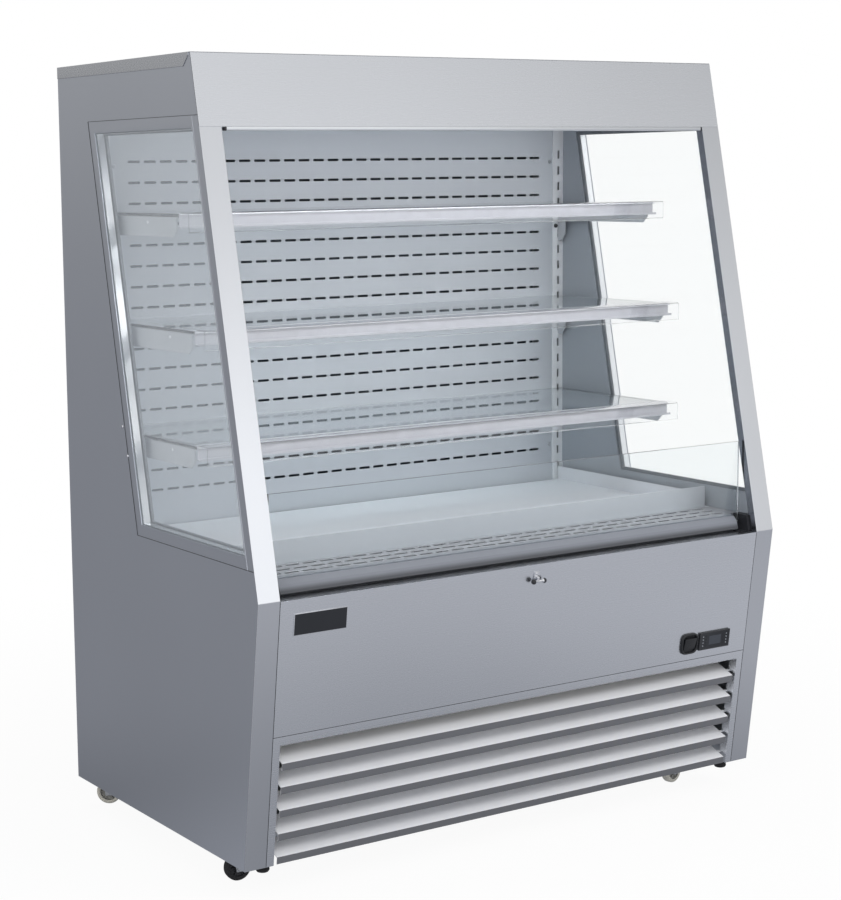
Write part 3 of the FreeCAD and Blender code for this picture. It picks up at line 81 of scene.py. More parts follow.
def make_camera():
    ahead = Vector((math.sin(CAMERA_TURN) * math.cos(CAMERA_TILT),
                    math.cos(CAMERA_TURN) * math.cos(CAMERA_TILT), math.sin(CAMERA_TILT)))
    level = Vector((math.cos(CAMERA_TURN), -math.sin(CAMERA_TURN), 0))
    top = level.cross(ahead)
    right = level * math.cos(CAMERA_ROLL) + top * math.sin(CAMERA_ROLL)
    up = top * math.cos(CAMERA_ROLL) - level * math.sin(CAMERA_ROLL)
    data = bpy.data.cameras.new("camera")
    data.lens = LENS
    data.sensor_width = 36
    data.shift_x, data.shift_y = SHIFT
    data.clip_end = 50
    camera = bpy.data.objects.new("camera", data)
    turn = Matrix((right, up, -ahead)).transposed().to_4x4()
    camera.matrix_world = Matrix.Translation(CAMERA_PLACE) @ turn
    bpy.context.scene.collection.objects.link(camera)
    bpy.context.scene.camera = camera
    return camera


camera = make_camera()
print("camera at", [round(value, 3) for value in camera.location])

# %% [markdown]
# ## Studio light
#
# Bare steel shows what stands round it more than its own colour. The upper front leans back and mirrors the
# bright upper room. The lower front leans the other way and mirrors the darker floor, and the side mirrors
# the dim far end of the studio. So the room is a soft gradient of light in three directions, and only the
# view straight through to the background is plain white.

# %% World and floor
def new_node(tree, kind, **values):
    node = tree.nodes.new(kind)
    for name, value in values.items():
        setattr(node, name, value)
    return node


def feed(tree, value, socket):
    """Gives an input either a link or a plain value."""
    if isinstance(value, bpy.types.NodeSocket):
        tree.links.new(value, socket)
    else:
        socket.default_value = value


def math_node(tree, operation, first, second):
    node = new_node(tree, "ShaderNodeMath", operation=operation)
    feed(tree, first, node.inputs[0])
    feed(tree, second, node.inputs[1])
    return node.outputs[0]


def ramp_node(tree, value, stops):
    node = new_node(tree, "ShaderNodeValToRGB")
    ramp = node.color_ramp
    while len(ramp.elements) < len(stops):
        ramp.elements.new(0.5)
    for element, (position, color) in zip(ramp.elements, stops):
        element.position = position
        element.color = (*color, 1) if isinstance(color, tuple) else (color, color, color, 1)
    tree.links.new(value, node.inputs[0])
    return node.outputs[0]


def split(tree, vector):
    parts = new_node(tree, "ShaderNodeSeparateXYZ")
    tree.links.new(vector, parts.inputs[0])
    return parts.outputs


def half_way(tree, value):
    """Moves a direction's or a place's coordinate from -1..1 to 0..1, as a ramp needs it."""
    moved = math_node(tree, "MULTIPLY_ADD", value, 0.5)
    moved.node.inputs[2].default_value = 0.5
    return moved


def lay_on(tree, under, over, share=1, blend="MULTIPLY"):
    """Lays one colour over another, by a share of 0 to 1."""
    mix = new_node(tree, "ShaderNodeMix", data_type="RGBA", blend_type=blend)
    feed(tree, under, mix.inputs["A"])
    feed(tree, over, mix.inputs["B"])
    feed(tree, share, mix.inputs["Factor"])
    return mix.outputs["Result"]


def mix_shader(tree, share, first, second):
    mix = new_node(tree, "ShaderNodeMixShader")
    feed(tree, share, mix.inputs[0])
    tree.links.new(first.outputs[0], mix.inputs[1])
    tree.links.new(second.outputs[0], mix.inputs[2])
    return mix


def seen_straight(tree):
    """1 for what is seen directly or through glass, 0 for what only lights or mirrors."""
    path = new_node(tree, "ShaderNodeLightPath")
    return math_node(tree, "MAXIMUM", path.outputs["Is Camera Ray"], path.outputs["Is Transmission Ray"])


def make_world():
    world = bpy.data.worlds.new("studio")
    world.use_nodes = True
    tree = world.node_tree
    tree.nodes.clear()
    parts = split(tree, new_node(tree, "ShaderNodeTexCoord").outputs["Generated"])
    rise = ramp_node(tree, half_way(tree, parts["Z"]),
                     [(0.0, 0.16), (0.44, 0.34), (0.49, 0.62), (0.515, 1.26), (0.61, 1.30), (0.67, 0.82),
                      (1.0, 0.88)])
    depth = ramp_node(tree, half_way(tree, parts["Y"]), [(0.0, 1.0), (0.55, 0.95), (0.85, 0.36), (1.0, 0.32)])
    across = ramp_node(tree, half_way(tree, parts["X"]),
                       [(0.0, 1.0), (0.76, 1.0), (0.80, 0.93), (0.826, 0.63), (0.85, 0.60), (1.0, 0.50)])
    room = lay_on(tree, lay_on(tree, rise, across), depth)
    light = new_node(tree, "ShaderNodeBackground")
    tree.links.new(room, light.inputs["Color"])
    white = new_node(tree, "ShaderNodeBackground")
    white.inputs["Color"].default_value = (1, 1, 1, 1)
    mix = mix_shader(tree, seen_straight(tree), light, white)
    output = new_node(tree, "ShaderNodeOutputWorld")
    tree.links.new(mix.outputs[0], output.inputs[0])
    bpy.context.scene.world = world


def make_floor():
    mesh = bpy.data.meshes.new("floor")
    reach = 30.0
    mesh.from_pydata([(-reach, -reach, 0), (reach, -reach, 0), (reach, reach, 0), (-reach, reach, 0)], [],
                     [(0, 1, 2, 3)])
    floor = bpy.data.objects.new("floor", mesh)
    bpy.context.scene.collection.objects.link(floor)
    material = bpy.data.materials.new("floor")
    material.use_nodes = True
    tree = material.node_tree
    tree.nodes.clear()
    place = new_node(tree, "ShaderNodeTexCoord").outputs["Object"]
    distance = new_node(tree, "ShaderNodeVectorMath", operation="LENGTH")
    tree.links.new(place, distance.inputs[0])
    near = math_node(tree, "MULTIPLY", distance.outputs["Value"], 0.33)
    paint = new_node(tree, "ShaderNodeBsdfDiffuse")
    paint.inputs["Color"].default_value = (0.9, 0.9, 0.9, 1)
    glow = new_node(tree, "ShaderNodeEmission")
    glow.inputs["Color"].default_value = (1, 1, 1, 1)
    surface = mix_shader(tree, ramp_node(tree, near, [(0.25, 0.94), (0.75, 1.0)]), paint, glow)
    # Painted shade: for what only mirrors the floor or takes light from it, the floor glows darker round the
    # cabinet and behind it, where the cabinet's shadow falls.
    shade_round_cabinet = ramp_node(tree, near, [(0.13, (0.27, 0.28, 0.305)), (0.45, (0.52, 0.53, 0.565))])
    behind = ramp_node(tree, half_way(tree, split(tree, place)["Y"]), [(0.30, 1.0), (0.70, 0.47)])
    dim = new_node(tree, "ShaderNodeEmission")
    tree.links.new(lay_on(tree, shade_round_cabinet, behind), dim.inputs["Color"])
    mix = mix_shader(tree, seen_straight(tree), dim, surface)
    output = new_node(tree, "ShaderNodeOutputMaterial")
    tree.links.new(mix.outputs[0], output.inputs[0])
    mesh.materials.append(material)


def area_light(name, place, aim, size, power):
    data = bpy.data.lights.new(name, "AREA")
    data.shape = "RECTANGLE"
    data.size, data.size_y = size
    data.energy = power
    lamp = bpy.data.objects.new(name, data)
    lamp.location = place
    lamp.rotation_euler = (Vector(aim) - Vector(place)).to_track_quat("-Z", "Y").to_euler()
    lamp.visible_glossy = False
    bpy.context.scene.collection.objects.link(lamp)


make_world()
make_floor()
area_light("key", (1.6, -3.6, 3.4), (0, 0, 0.8), (2.6, 1.6), 60)
area_light("fill", (-3.0, -1.5, 2.6), (0, 0, 0.8), (2.0, 1.6), 12)
area_light("shelf_lamp", (0, -0.072, 1.3585), (0, 0.26, 0.75), (1.03, 0.02), 1.5)
bpy.context.scene.view_settings.view_transform = "Standard"
print("world, floor and lights made:", len(bpy.data.lights))

# %% [markdown]
# ## Materials
#
# Every material is made of nodes. The brushed sheet has fine streaks along one axis in its roughness and its
# bump, and a slow cloud of colour that keeps large faces from looking drawn. Painted sheet has a fine
# orange-peel bump. Glass lets shadow rays through, because the cabinet would be dark behind it otherwise.
#
# One sheet can show two tones, as its faces catch different parts of the room. Short functions paint that
# light and shade into the colour: they lay a second colour over the first, chosen by a place or by the way
# that a face looks.

# %% Material tools
def new_material(name, color, metallic=0.0, roughness=0.5, **sockets):
    material = bpy.data.materials.new(name)
    material.use_nodes = True
    shader = material.node_tree.nodes["Principled BSDF"]
    shader.inputs["Base Color"].default_value = (*color, 1)
    shader.inputs["Metallic"].default_value = metallic
    shader.inputs["Roughness"].default_value = roughness
    for socket, value in sockets.items():
        shader.inputs[socket.replace("_", " ")].default_value = value
    return material, material.node_tree, shader


def noise(tree, scale, detail=3.0):
    """Noise in the object's own space, stretched by a scale for each axis."""
    place = new_node(tree, "ShaderNodeTexCoord").outputs["Object"]
    mapping = new_node(tree, "ShaderNodeMapping")
    mapping.inputs["Scale"].default_value = scale
    tree.links.new(place, mapping.inputs["Vector"])
    texture = new_node(tree, "ShaderNodeTexNoise")
    texture.inputs["Scale"].default_value = 1.0
    texture.inputs["Detail"].default_value = detail
    tree.links.new(mapping.outputs[0], texture.inputs["Vector"])
    return texture.outputs["Fac"]


def spread(tree, value, low, high, start=0.3, end=0.7):
    """Stretches the values between start and end to run from low to high; noise lies between 0.3 and 0.7."""
    node = new_node(tree, "ShaderNodeMapRange")
    for name, number in (("From Min", start), ("From Max", end), ("To Min", low), ("To Max", high)):
        node.inputs[name].default_value = number
    tree.links.new(value, node.inputs["Value"])
    return node.outputs["Result"]


def tint(tree, shader, value, dark, light):
    color = ramp_node(tree, value, [(0.3, dark), (0.7, light)])
    tree.links.new(color, shader.inputs["Base Color"])


def bump(tree, shader, value, strength, distance):
    node = new_node(tree, "ShaderNodeBump")
    node.inputs["Strength"].default_value = strength
    node.inputs["Distance"].default_value = distance
    tree.links.new(value, node.inputs["Height"])
    tree.links.new(node.outputs[0], shader.inputs["Normal"])


def brushed(name, color, roughness, streaks, metallic=1.0):
    """Brushed steel; the streaks run along the axis with the smallest scale."""
    material, tree, shader = new_material(name, color, metallic, roughness)
    fine = noise(tree, streaks, 4.0)
    tree.links.new(spread(tree, fine, roughness - 0.008, roughness + 0.008), shader.inputs["Roughness"])
    cloud = noise(tree, (1.7, 1.7, 1.7), 2.0)
    tint(tree, shader, cloud, tuple(c * 0.965 for c in color), color)
    bump(tree, shader, fine, 0.004, 0.0002)
    return material


def painted(name, color, roughness=0.42, grain=900.0):
    material, tree, shader = new_material(name, color, 0.0, roughness)
    fine = noise(tree, (grain, grain, grain), 2.0)
    cloud = noise(tree, (2.3, 2.3, 2.3), 2.0)
    tint(tree, shader, cloud, tuple(c * 0.965 for c in color), color)
    tree.links.new(spread(tree, fine, roughness - 0.05, roughness + 0.06), shader.inputs["Roughness"])
    bump(tree, shader, fine, 0.06, 0.0001)
    return material


def place_along(tree, axis):
    return split(tree, new_node(tree, "ShaderNodeTexCoord").outputs["Object"])[axis]


def recolour(material, over, share, blend="MIX"):
    """Lays a colour or a socket over the material's own colour."""
    base = material.node_tree.nodes["Principled BSDF"].inputs["Base Color"]
    laid = lay_on(material.node_tree, base.links[0].from_socket, over, share, blend)
    material.node_tree.links.new(laid, base)


def shade_behind(material, start):
    """Painted shade behind a distance in y: the dark air shaft behind the punched panel, where little light
    reaches.
    """
    tree = material.node_tree
    recolour(material, (0.09, 0.105, 0.13, 1), math_node(tree, "GREATER_THAN", place_along(tree, "Y"), start))


def dim_below(material, low, high, share):
    """The same paint, duller below a band of heights, where less light from the room reaches it."""
    tree = material.node_tree
    recolour(material, spread(tree, place_along(tree, "Z"), share, 1.0, low, high), 1, "MULTIPLY")


def facing(material, axis, beyond, color, inward=False):
    """Painted shade: a darker colour on the faces whose normal points far enough down an axis, or towards the
    middle.
    """
    tree = material.node_tree
    reach = split(tree, new_node(tree, "ShaderNodeNewGeometry").outputs["True Normal"])[axis]
    if inward:
        reach = math_node(tree, "MULTIPLY", reach, math_node(tree, "SIGN", place_along(tree, axis), 0.0))
    recolour(material, (*color, 1), math_node(tree, "LESS_THAN", reach, beyond))


def beyond_plane(material, reach, color):
    """Painted highlight: a lighter colour on what stands further out in x, the pressed rim round each window.
    """
    tree = material.node_tree
    out = math_node(tree, "ABSOLUTE", place_along(tree, "X"), 0.0)
    recolour(material, (*color, 1), math_node(tree, "GREATER_THAN", out, reach))


def moulded(name, color, roughness=0.5, grain=1400.0):
    material, tree, shader = new_material(name, color, 0.0, roughness)
    fine = noise(tree, (grain, grain, grain), 3.0)
    tint(tree, shader, noise(tree, (40.0, 40.0, 40.0), 2.0), tuple(c * 0.92 for c in color), color)
    tree.links.new(spread(tree, fine, roughness - 0.08, roughness + 0.08), shader.inputs["Roughness"])
    bump(tree, shader, fine, 0.1, 0.0001)
    return material


def glass(name, color, roughness=0.0, index=1.45):
    material, tree, shader = new_material(name, color, 0.0, roughness, IOR=index, Transmission_Weight=1.0)
    smear = noise(tree, (6.0, 6.0, 6.0), 3.0)
    tree.links.new(spread(tree, smear, roughness, roughness + 0.015), shader.inputs["Roughness"])
    clear = new_node(tree, "ShaderNodeBsdfTransparent")
    clear.inputs["Color"].default_value = (*color, 1)
    shadow = new_node(tree, "ShaderNodeLightPath").outputs["Is Shadow Ray"]
    mix = mix_shader(tree, shadow, shader, clear)
    tree.links.new(mix.outputs[0], tree.nodes["Material Output"].inputs["Surface"])
    return material


def coated(material, share, outside):
    """A hazy reflective film on the faces that lie further out than a distance and look outwards."""
    tree = material.node_tree
    output = tree.nodes["Material Output"]
    under = output.inputs["Surface"].links[0].from_node
    reach = math_node(tree, "ABSOLUTE", place_along(tree, "X"), 0.0)
    far = math_node(tree, "GREATER_THAN", reach, outside)
    front = math_node(tree, "SUBTRACT", 1.0, new_node(tree, "ShaderNodeNewGeometry").outputs["Backfacing"])
    shine = new_node(tree, "ShaderNodeBsdfGlossy")
    shine.inputs["Color"].default_value = (0.93, 0.97, 1.0, 1)
    shine.inputs["Roughness"].default_value = 0.03
    haze = new_node(tree, "ShaderNodeBsdfDiffuse")
    haze.inputs["Color"].default_value = (0.76, 0.83, 0.91, 1)
    covered = math_node(tree, "MULTIPLY", math_node(tree, "MULTIPLY", far, front), share)
    mix = mix_shader(tree, covered, under, mix_shader(tree, HAZE_SHARE, shine, haze))
    tree.links.new(mix.outputs[0], output.inputs["Surface"])


HAZE_SHARE = 0.6
FILM_SHARE = 0.41
PANE_OUTSIDE = 0.597                # the panes' outer faces lie further out than this
AIR_SHAFT = 0.2625                  # what lies behind this y is in the air shaft
SQUARELY = -0.8                     # a face looks against an axis if its normal reaches this far
STEEL = (0.74, 0.76, 0.80)
steel_side = brushed("steel_side", (0.725, 0.757, 0.825), 0.34, (14.0, 14.0, 1300.0))
steel_front = brushed("steel_front", STEEL, 0.27, (9.0, 900.0, 900.0))
pillar_steel = brushed("pillar_steel", STEEL, 0.19, (9.0, 900.0, 900.0))
galvanised = brushed("galvanised", (0.58, 0.60, 0.63), 0.5, (60.0, 60.0, 60.0))
alloy = brushed("alloy", (0.78, 0.80, 0.83), 0.3, (6.0, 1200.0, 1200.0))
polished = brushed("polished", (0.82, 0.83, 0.86), 0.16, (400.0, 400.0, 400.0))
fins = brushed("fins", (0.66, 0.68, 0.70), 0.4, (900.0, 900.0, 30.0))
copper = brushed("copper", (0.80, 0.46, 0.30), 0.28, (500.0, 500.0, 500.0))
blade_steel = brushed("blade_steel", (0.95, 0.96, 0.99), 0.5, (9.0, 900.0, 900.0), 0.1)
inner_paint = painted("inner_paint", (0.565, 0.596, 0.645))
deck_paint = painted("deck_paint", (0.77, 0.78, 0.82))
return_paint = painted("return_paint", (0.33, 0.335, 0.365))
wall_paint = painted("wall_paint", (0.34, 0.37, 0.41))
bracket_paint = painted("bracket_paint", (0.47, 0.49, 0.525))
white_paint = painted("white_paint", (0.76, 0.78, 0.81))
profile_grey = painted("profile_grey", (0.235, 0.25, 0.285), 0.35)
foam = painted("foam", (0.78, 0.74, 0.58), 0.8, 300.0)
machine_paint = painted("machine_paint", (0.03, 0.03, 0.035), 0.3)
black = moulded("black", (0.022, 0.023, 0.028), 0.45)
rubber = moulded("rubber", (0.02, 0.02, 0.022), 0.75)
wheel_cream = moulded("wheel_cream", (0.78, 0.75, 0.66), 0.4)
pane = glass("pane", (0.985, 0.993, 0.993), 0.0, 1.16)
coated(pane, FILM_SHARE, PANE_OUTSIDE)
shelf_pane = glass("shelf_pane", (0.955, 0.98, 0.985))
rail_white = moulded("rail_white", (0.58, 0.59, 0.635), 0.35)
cloth = painted("cloth", (0.60, 0.62, 0.65), 0.8, 500.0)
diffuser = moulded("diffuser", (0.90, 0.91, 0.93), 0.4)
gloss_black = moulded("gloss_black", (0.014, 0.016, 0.021), 0.16, 300.0)
display_glass = moulded("display_glass", (0.045, 0.052, 0.066), 0.2, 300.0)
key_grey = moulded("key_grey", (0.30, 0.32, 0.35), 0.5)
seal_grey = moulded("seal_grey", (0.17, 0.185, 0.205), 0.6)
rubber_gloss = moulded("rubber_gloss", (0.014, 0.015, 0.018), 0.3, 700.0)
hub_grey = moulded("hub_grey", (0.34, 0.335, 0.31), 0.5)
# painted shade for the narrow joints between the sheets
seam_shade = moulded("seam_shade", (0.03, 0.032, 0.037), 0.6)
rail_clear = glass("rail_clear", (0.985, 0.99, 0.995), 0.03)
dim_below(profile_grey, 558 * MM, 566 * MM, 0.34)                   # the foot of the riser profile
dim_below(pillar_steel, FOLD_Z - 2 * MM, FOLD_Z + 2 * MM, 0.88)     # the pillars below their fold
# painted shade on what looks forwards on the deck
facing(deck_paint, "Y", SQUARELY, (0.47, 0.49, 0.53))               # what looks forwards on the deck
dim_below(inner_paint, 1.14, 1.32, 0.85)                            # the lining further from the lamp
# painted shade in the air shaft behind the punched panel
shade_behind(inner_paint, AIR_SHAFT)
# painted shade on the forward edges of the louvres, which look down at the dim floor
facing(blade_steel, "Y", SQUARELY, (0.16, 0.165, 0.18))             # the forward edges of the louvres
# painted shade on the pillars' inner sides
facing(pillar_steel, "X", SQUARELY, (0.30, 0.31, 0.34), True)       # the pillars' inner sides
# painted highlight on the pressed rims round the windows
beyond_plane(steel_side, SKIN_HALF, (0.90, 0.915, 0.95))
print("materials:", len(bpy.data.materials))

# %% [markdown]
# ## Dressing the nodes
#
# These nodes stay as they are. They only get their material here. Where a folded edge catches the light, they
# also get a small bevel as a modifier, near the end. The nodes that a finer piece replaces further down get
# their material here too, so that the list is whole.

# %% Dress the nodes
DRESS = {
    steel_side: ["side_skins"],
    pillar_steel: ["pillars"],
    steel_front: ["fascia", "top_cover", "front_panel", "grille_frame"],
    blade_steel: ["grille_blades"],
    profile_grey: ["riser_profile"],
    galvanised: ["rear_skin", "base_tray", "caster_plates", "drain_tray", "electrical_box"],
    inner_paint: ["air_panel", "ceiling_panel", "cavity_liner"],
    wall_paint: ["side_liners"],
    deck_paint: ["deck_pan"],
    return_paint: ["return_grille"],
    white_paint: ["standards"],
    bracket_paint: ["shelf_brackets"],
    foam: ["insulation"],
    pane: ["window_panes"],
    shelf_pane: ["riser_glass", "shelf_glass_1", "shelf_glass_2", "shelf_glass_3"],
    alloy: ["window_spacers", "pull_bar"],
    seal_grey: ["window_seals"],
    rubber: ["front_pads", "caster_wheel_front_left"],
    black: ["end_cheeks", "switch_bezel", "switch_rocker", "controller", "air_outlet", "fan_rotor",
            "evaporator_rotor", "brake_pedal_front_left", "brake_pedal_front_right"],
    polished: ["badge_plate", "catch_hook"],
    rail_white: ["price_rail_1", "price_rail_2", "price_rail_3"],
    machine_paint: ["compressor"],
    fins: ["condenser", "evaporator"],
    copper: ["pipework"],
    cloth: ["roller", "curtain"],
    diffuser: ["lamp"],
    wheel_cream: ["caster_wheel_front_right", "caster_wheel_rear_left", "caster_wheel_rear_right"],
}


def dress(node, material):
    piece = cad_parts[node]
    if not piece.material_slots:
        raise RuntimeError(node + " has no material slot")
    for holder in piece.material_slots:
        holder.link = "OBJECT"
        holder.material = material


dressed = 0
for material, names in DRESS.items():
    for name in names:
        dress(name, material)
        dressed += 1
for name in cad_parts:
    if name.startswith("caster_fork"):
        dress(name, galvanised)
        dressed += 1
print("nodes dressed:", dressed, "of", len(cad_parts))

# %% [markdown]
# ## Places on the sloped front
#
# The front is not upright: above the fold it leans back, and below the fold it leans back the other way. One
# short function gives the y of the front at any height, and one gives the turn that lays a fitting flat on
# the lower panel. Every fitting below is made lying flat and then turned and moved with its mesh.

# %% Front slopes and small mesh helpers
FOLD_Y = -370 * MM
UPPER_SLOPE = 199 / 932
LOWER_SLOPE = 64 / 490


def front_y(height):
    slope = UPPER_SLOPE if height > FOLD_Z else -LOWER_SLOPE
    return FOLD_Y + (height - FOLD_Z) * slope


def on_panel(x, height):
    """The turn and move from a piece drawn in x and y, facing +z, to the lower front."""
    lean = math.atan(LOWER_SLOPE)
    turn = Matrix.Rotation(math.radians(90) + lean, 4, "X")
    return Matrix.Translation((x, front_y(height), height)) @ turn


def shift(bm, place):
    bmesh.ops.transform(bm, matrix=place, verts=bm.verts)


def verts_of(made):
    """The vertices in what a bmesh operator has made."""
    return [part for part in made["geom"] if isinstance(part, bmesh.types.BMVert)]


def paint(bm, material):
    """Gives all faces one material of the piece, by its number."""
    for face in bm.faces:
        face.material_index = material


def inset_front(bm, rim, material):
    """Insets the face that looks towards +z and gives it a material of its own."""
    front = max(bm.faces, key=lambda face: face.calc_center_median().z)
    bmesh.ops.inset_region(bm, faces=[front], thickness=rim, depth=0)
    front.material_index = material
    return front


def draw_out(bm, row, reach):
    """Joins a row of vertices with edges and draws them out along x."""
    edges = [bm.edges.new(pair) for pair in zip(row, row[1:])]
    drawn = bmesh.ops.extrude_edge_only(bm, edges=edges)
    bmesh.ops.translate(bm, verts=verts_of(drawn), vec=(reach, 0, 0))


def strip(path, low_x, high_x, gauge, material=0):
    """A sheet folded along a path of (y, z) points and drawn out along x."""
    bm = bmesh.new()
    draw_out(bm, [bm.verts.new((low_x, y, z)) for y, z in path], high_x - low_x)
    bmesh.ops.recalc_face_normals(bm, faces=bm.faces)
    bmesh.ops.solidify(bm, geom=list(bm.faces), thickness=gauge)
    bmesh.ops.recalc_face_normals(bm, faces=bm.faces)
    paint(bm, material)
    return bm


def block(low, high, round_off=0.0, segments=2):
    """A block between two corners with its edges rounded."""
    bm = bmesh.new()
    bmesh.ops.create_cube(bm, size=1)
    size = [b - a for a, b in zip(low, high)]
    middle = [(a + b) / 2 for a, b in zip(low, high)]
    bmesh.ops.scale(bm, vec=size, verts=bm.verts)
    bmesh.ops.translate(bm, vec=middle, verts=bm.verts)
    if round_off:
        bmesh.ops.bevel(bm, geom=list(bm.edges), offset=round_off, affect="EDGES", segments=segments,
                        profile=0.5, material=-1)
    return bm


def spun(outline, steps=32):
    """A turned piece: an outline of (radius, height) points spun round the z axis."""
    bm = bmesh.new()
    row = [bm.verts.new((radius, 0, height)) for radius, height in outline]
    edges = [bm.edges.new(pair) for pair in zip(row, row[1:])]
    bmesh.ops.spin(bm, geom=row + edges, cent=(0, 0, 0), axis=(0, 0, 1), angle=math.tau, steps=steps,
                   use_merge=True)
    bmesh.ops.remove_doubles(bm, verts=bm.verts, dist=1e-6)
    bmesh.ops.recalc_face_normals(bm, faces=bm.faces)
    return bm


def gather(pieces):
    """Joins several bmeshes in one; the first keeps the rest."""
    whole = bmesh.new()
    for bm in pieces:
        mesh = bpy.data.meshes.new("part")
        bm.to_mesh(mesh)
        bm.free()
        whole.from_mesh(mesh)
        bpy.data.meshes.remove(mesh)
    return whole


def finish_piece(name, bm, materials, body, stands_for=(), smooth_below=35):
    """Turns a bmesh into a piece that rides on a body; edges under the angle are shaded smooth."""
    mesh = bpy.data.meshes.new(name)
    bm.to_mesh(mesh)
    bm.free()
    mesh.shade_smooth()
    mesh.set_sharp_from_angle(angle=math.radians(smooth_below))
    for material in materials:
        mesh.materials.append(material)
    piece = bpy.data.objects.new(name, mesh)
    bpy.context.scene.collection.objects.link(piece)
    if body:
        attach(piece, body)
    if stands_for:
        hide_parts(*stands_for)
    return piece


def count(*pieces):
    for piece in pieces:
        print(piece.name, "faces:", len(piece.data.polygons))


print("front at the fold and the crown:", round(front_y(FOLD_Z), 4), round(front_y(CROWN_Z), 4))

# %% [markdown]
# ## The punched air panel
#
# Cold air reaches the shelves through 17 rows of 29 slots with round ends. The real sheet is punched, so the
# slots are true holes and the dark space behind them shows. One cell is enough: a circle of 12 points pulled
# apart into a slot and bridged to the rim of its cell. The cell is copied over rows and columns, the outer
# rim is pulled out to the sheet's edge, and the sheet gets its thickness last.

# %% Air panel with round-ended slots
SLOT_PITCH = 35.05 * MM
SLOT_ROW_PITCH = 40.46 * MM
SLOT_COLUMNS = 29
SLOT_ROWS = 17
SLOT_TOP = 1298.4 * MM
SLOT_LENGTH = 27 * MM
SLOT_HEIGHT = 5.2 * MM


def slot_cell(pitch, row_pitch, length, height):
    """One punched cell in the x, y plane, centred on the origin."""
    bm = bmesh.new()
    half = height / 2
    ring = bmesh.ops.create_circle(bm, cap_ends=False, segments=12, radius=half)["verts"]
    bmesh.ops.rotate(bm, verts=ring, matrix=Matrix.Rotation(math.radians(15), 3, "Z"))
    for vert in ring:
        vert.co.x += math.copysign(length / 2 - half, vert.co.x)
    slot_edges = list(bm.edges)
    corners = [bm.verts.new((sx * pitch / 2, sy * row_pitch / 2, 0))
               for sx, sy in ((-1, -1), (1, -1), (1, 1), (-1, 1))]
    rim = [bm.edges.new((corners[k], corners[(k + 1) % 4])) for k in range(4)]
    bmesh.ops.bridge_loops(bm, edges=slot_edges + rim)
    return bm


def tiled(bm, columns, rows, pitch, row_pitch):
    cell = list(bm.verts) + list(bm.edges) + list(bm.faces)
    for column in range(1, columns):
        copy = bmesh.ops.duplicate(bm, geom=cell)
        bmesh.ops.translate(bm, verts=verts_of(copy), vec=(column * pitch, 0, 0))
    line = list(bm.verts) + list(bm.edges) + list(bm.faces)
    for row in range(1, rows):
        copy = bmesh.ops.duplicate(bm, geom=line)
        bmesh.ops.translate(bm, verts=verts_of(copy), vec=(0, row * row_pitch, 0))
    bmesh.ops.remove_doubles(bm, verts=bm.verts, dist=1e-5)


def make_air_panel():
    bm = slot_cell(SLOT_PITCH, SLOT_ROW_PITCH, SLOT_LENGTH, SLOT_HEIGHT)
    tiled(bm, SLOT_COLUMNS, SLOT_ROWS, SLOT_PITCH, SLOT_ROW_PITCH)
    bmesh.ops.translate(bm, verts=bm.verts, vec=(-(SLOT_COLUMNS - 1) / 2 * SLOT_PITCH,
                                                 SLOT_TOP - (SLOT_ROWS - 1) * SLOT_ROW_PITCH, 0))
    low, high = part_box("air_panel")
    side = (SLOT_COLUMNS / 2) * SLOT_PITCH - 1e-4
    top = SLOT_TOP + SLOT_ROW_PITCH / 2 - 1e-4
    foot = SLOT_TOP - (SLOT_ROWS - 0.5) * SLOT_ROW_PITCH + 1e-4
    for vert in bm.verts:
        if abs(vert.co.x) > side:
            vert.co.x = math.copysign(high[0], vert.co.x)
        if vert.co.y > top:
            vert.co.y = high[2]
        elif vert.co.y < foot:
            vert.co.y = low[2]
    bmesh.ops.recalc_face_normals(bm, faces=bm.faces)
    if sum(face.normal.z for face in bm.faces) < 0:
        bmesh.ops.reverse_faces(bm, faces=bm.faces)
    shift(bm, Matrix.Translation((0, low[1], 0)) @ Matrix.Rotation(math.radians(90), 4, "X"))
    bmesh.ops.solidify(bm, geom=list(bm.faces), thickness=high[1] - low[1])
    return finish_piece("air_panel_sheet", bm, [inner_paint], "cabinet", ["air_panel"])


air_sheet = make_air_panel()
count(air_sheet)

# %% [markdown]
# ## Price rails
#
# Each glass shelf grips an extruded plastic rail. Its pale back hides the bracket ends, and a clear flap
# hangs three centimetres in front of it, so that paper tickets slide in between. Both are strips with one
# cross section, so each is a short path drawn out along the shelf.

# %% Price rails
RAIL_HALF = 559.6 * MM
SHELF_LEVELS = {"1": (-48 * MM, 1203 * MM), "2": (-98 * MM, 994.8 * MM), "3": (-98 * MM, 786.6 * MM)}


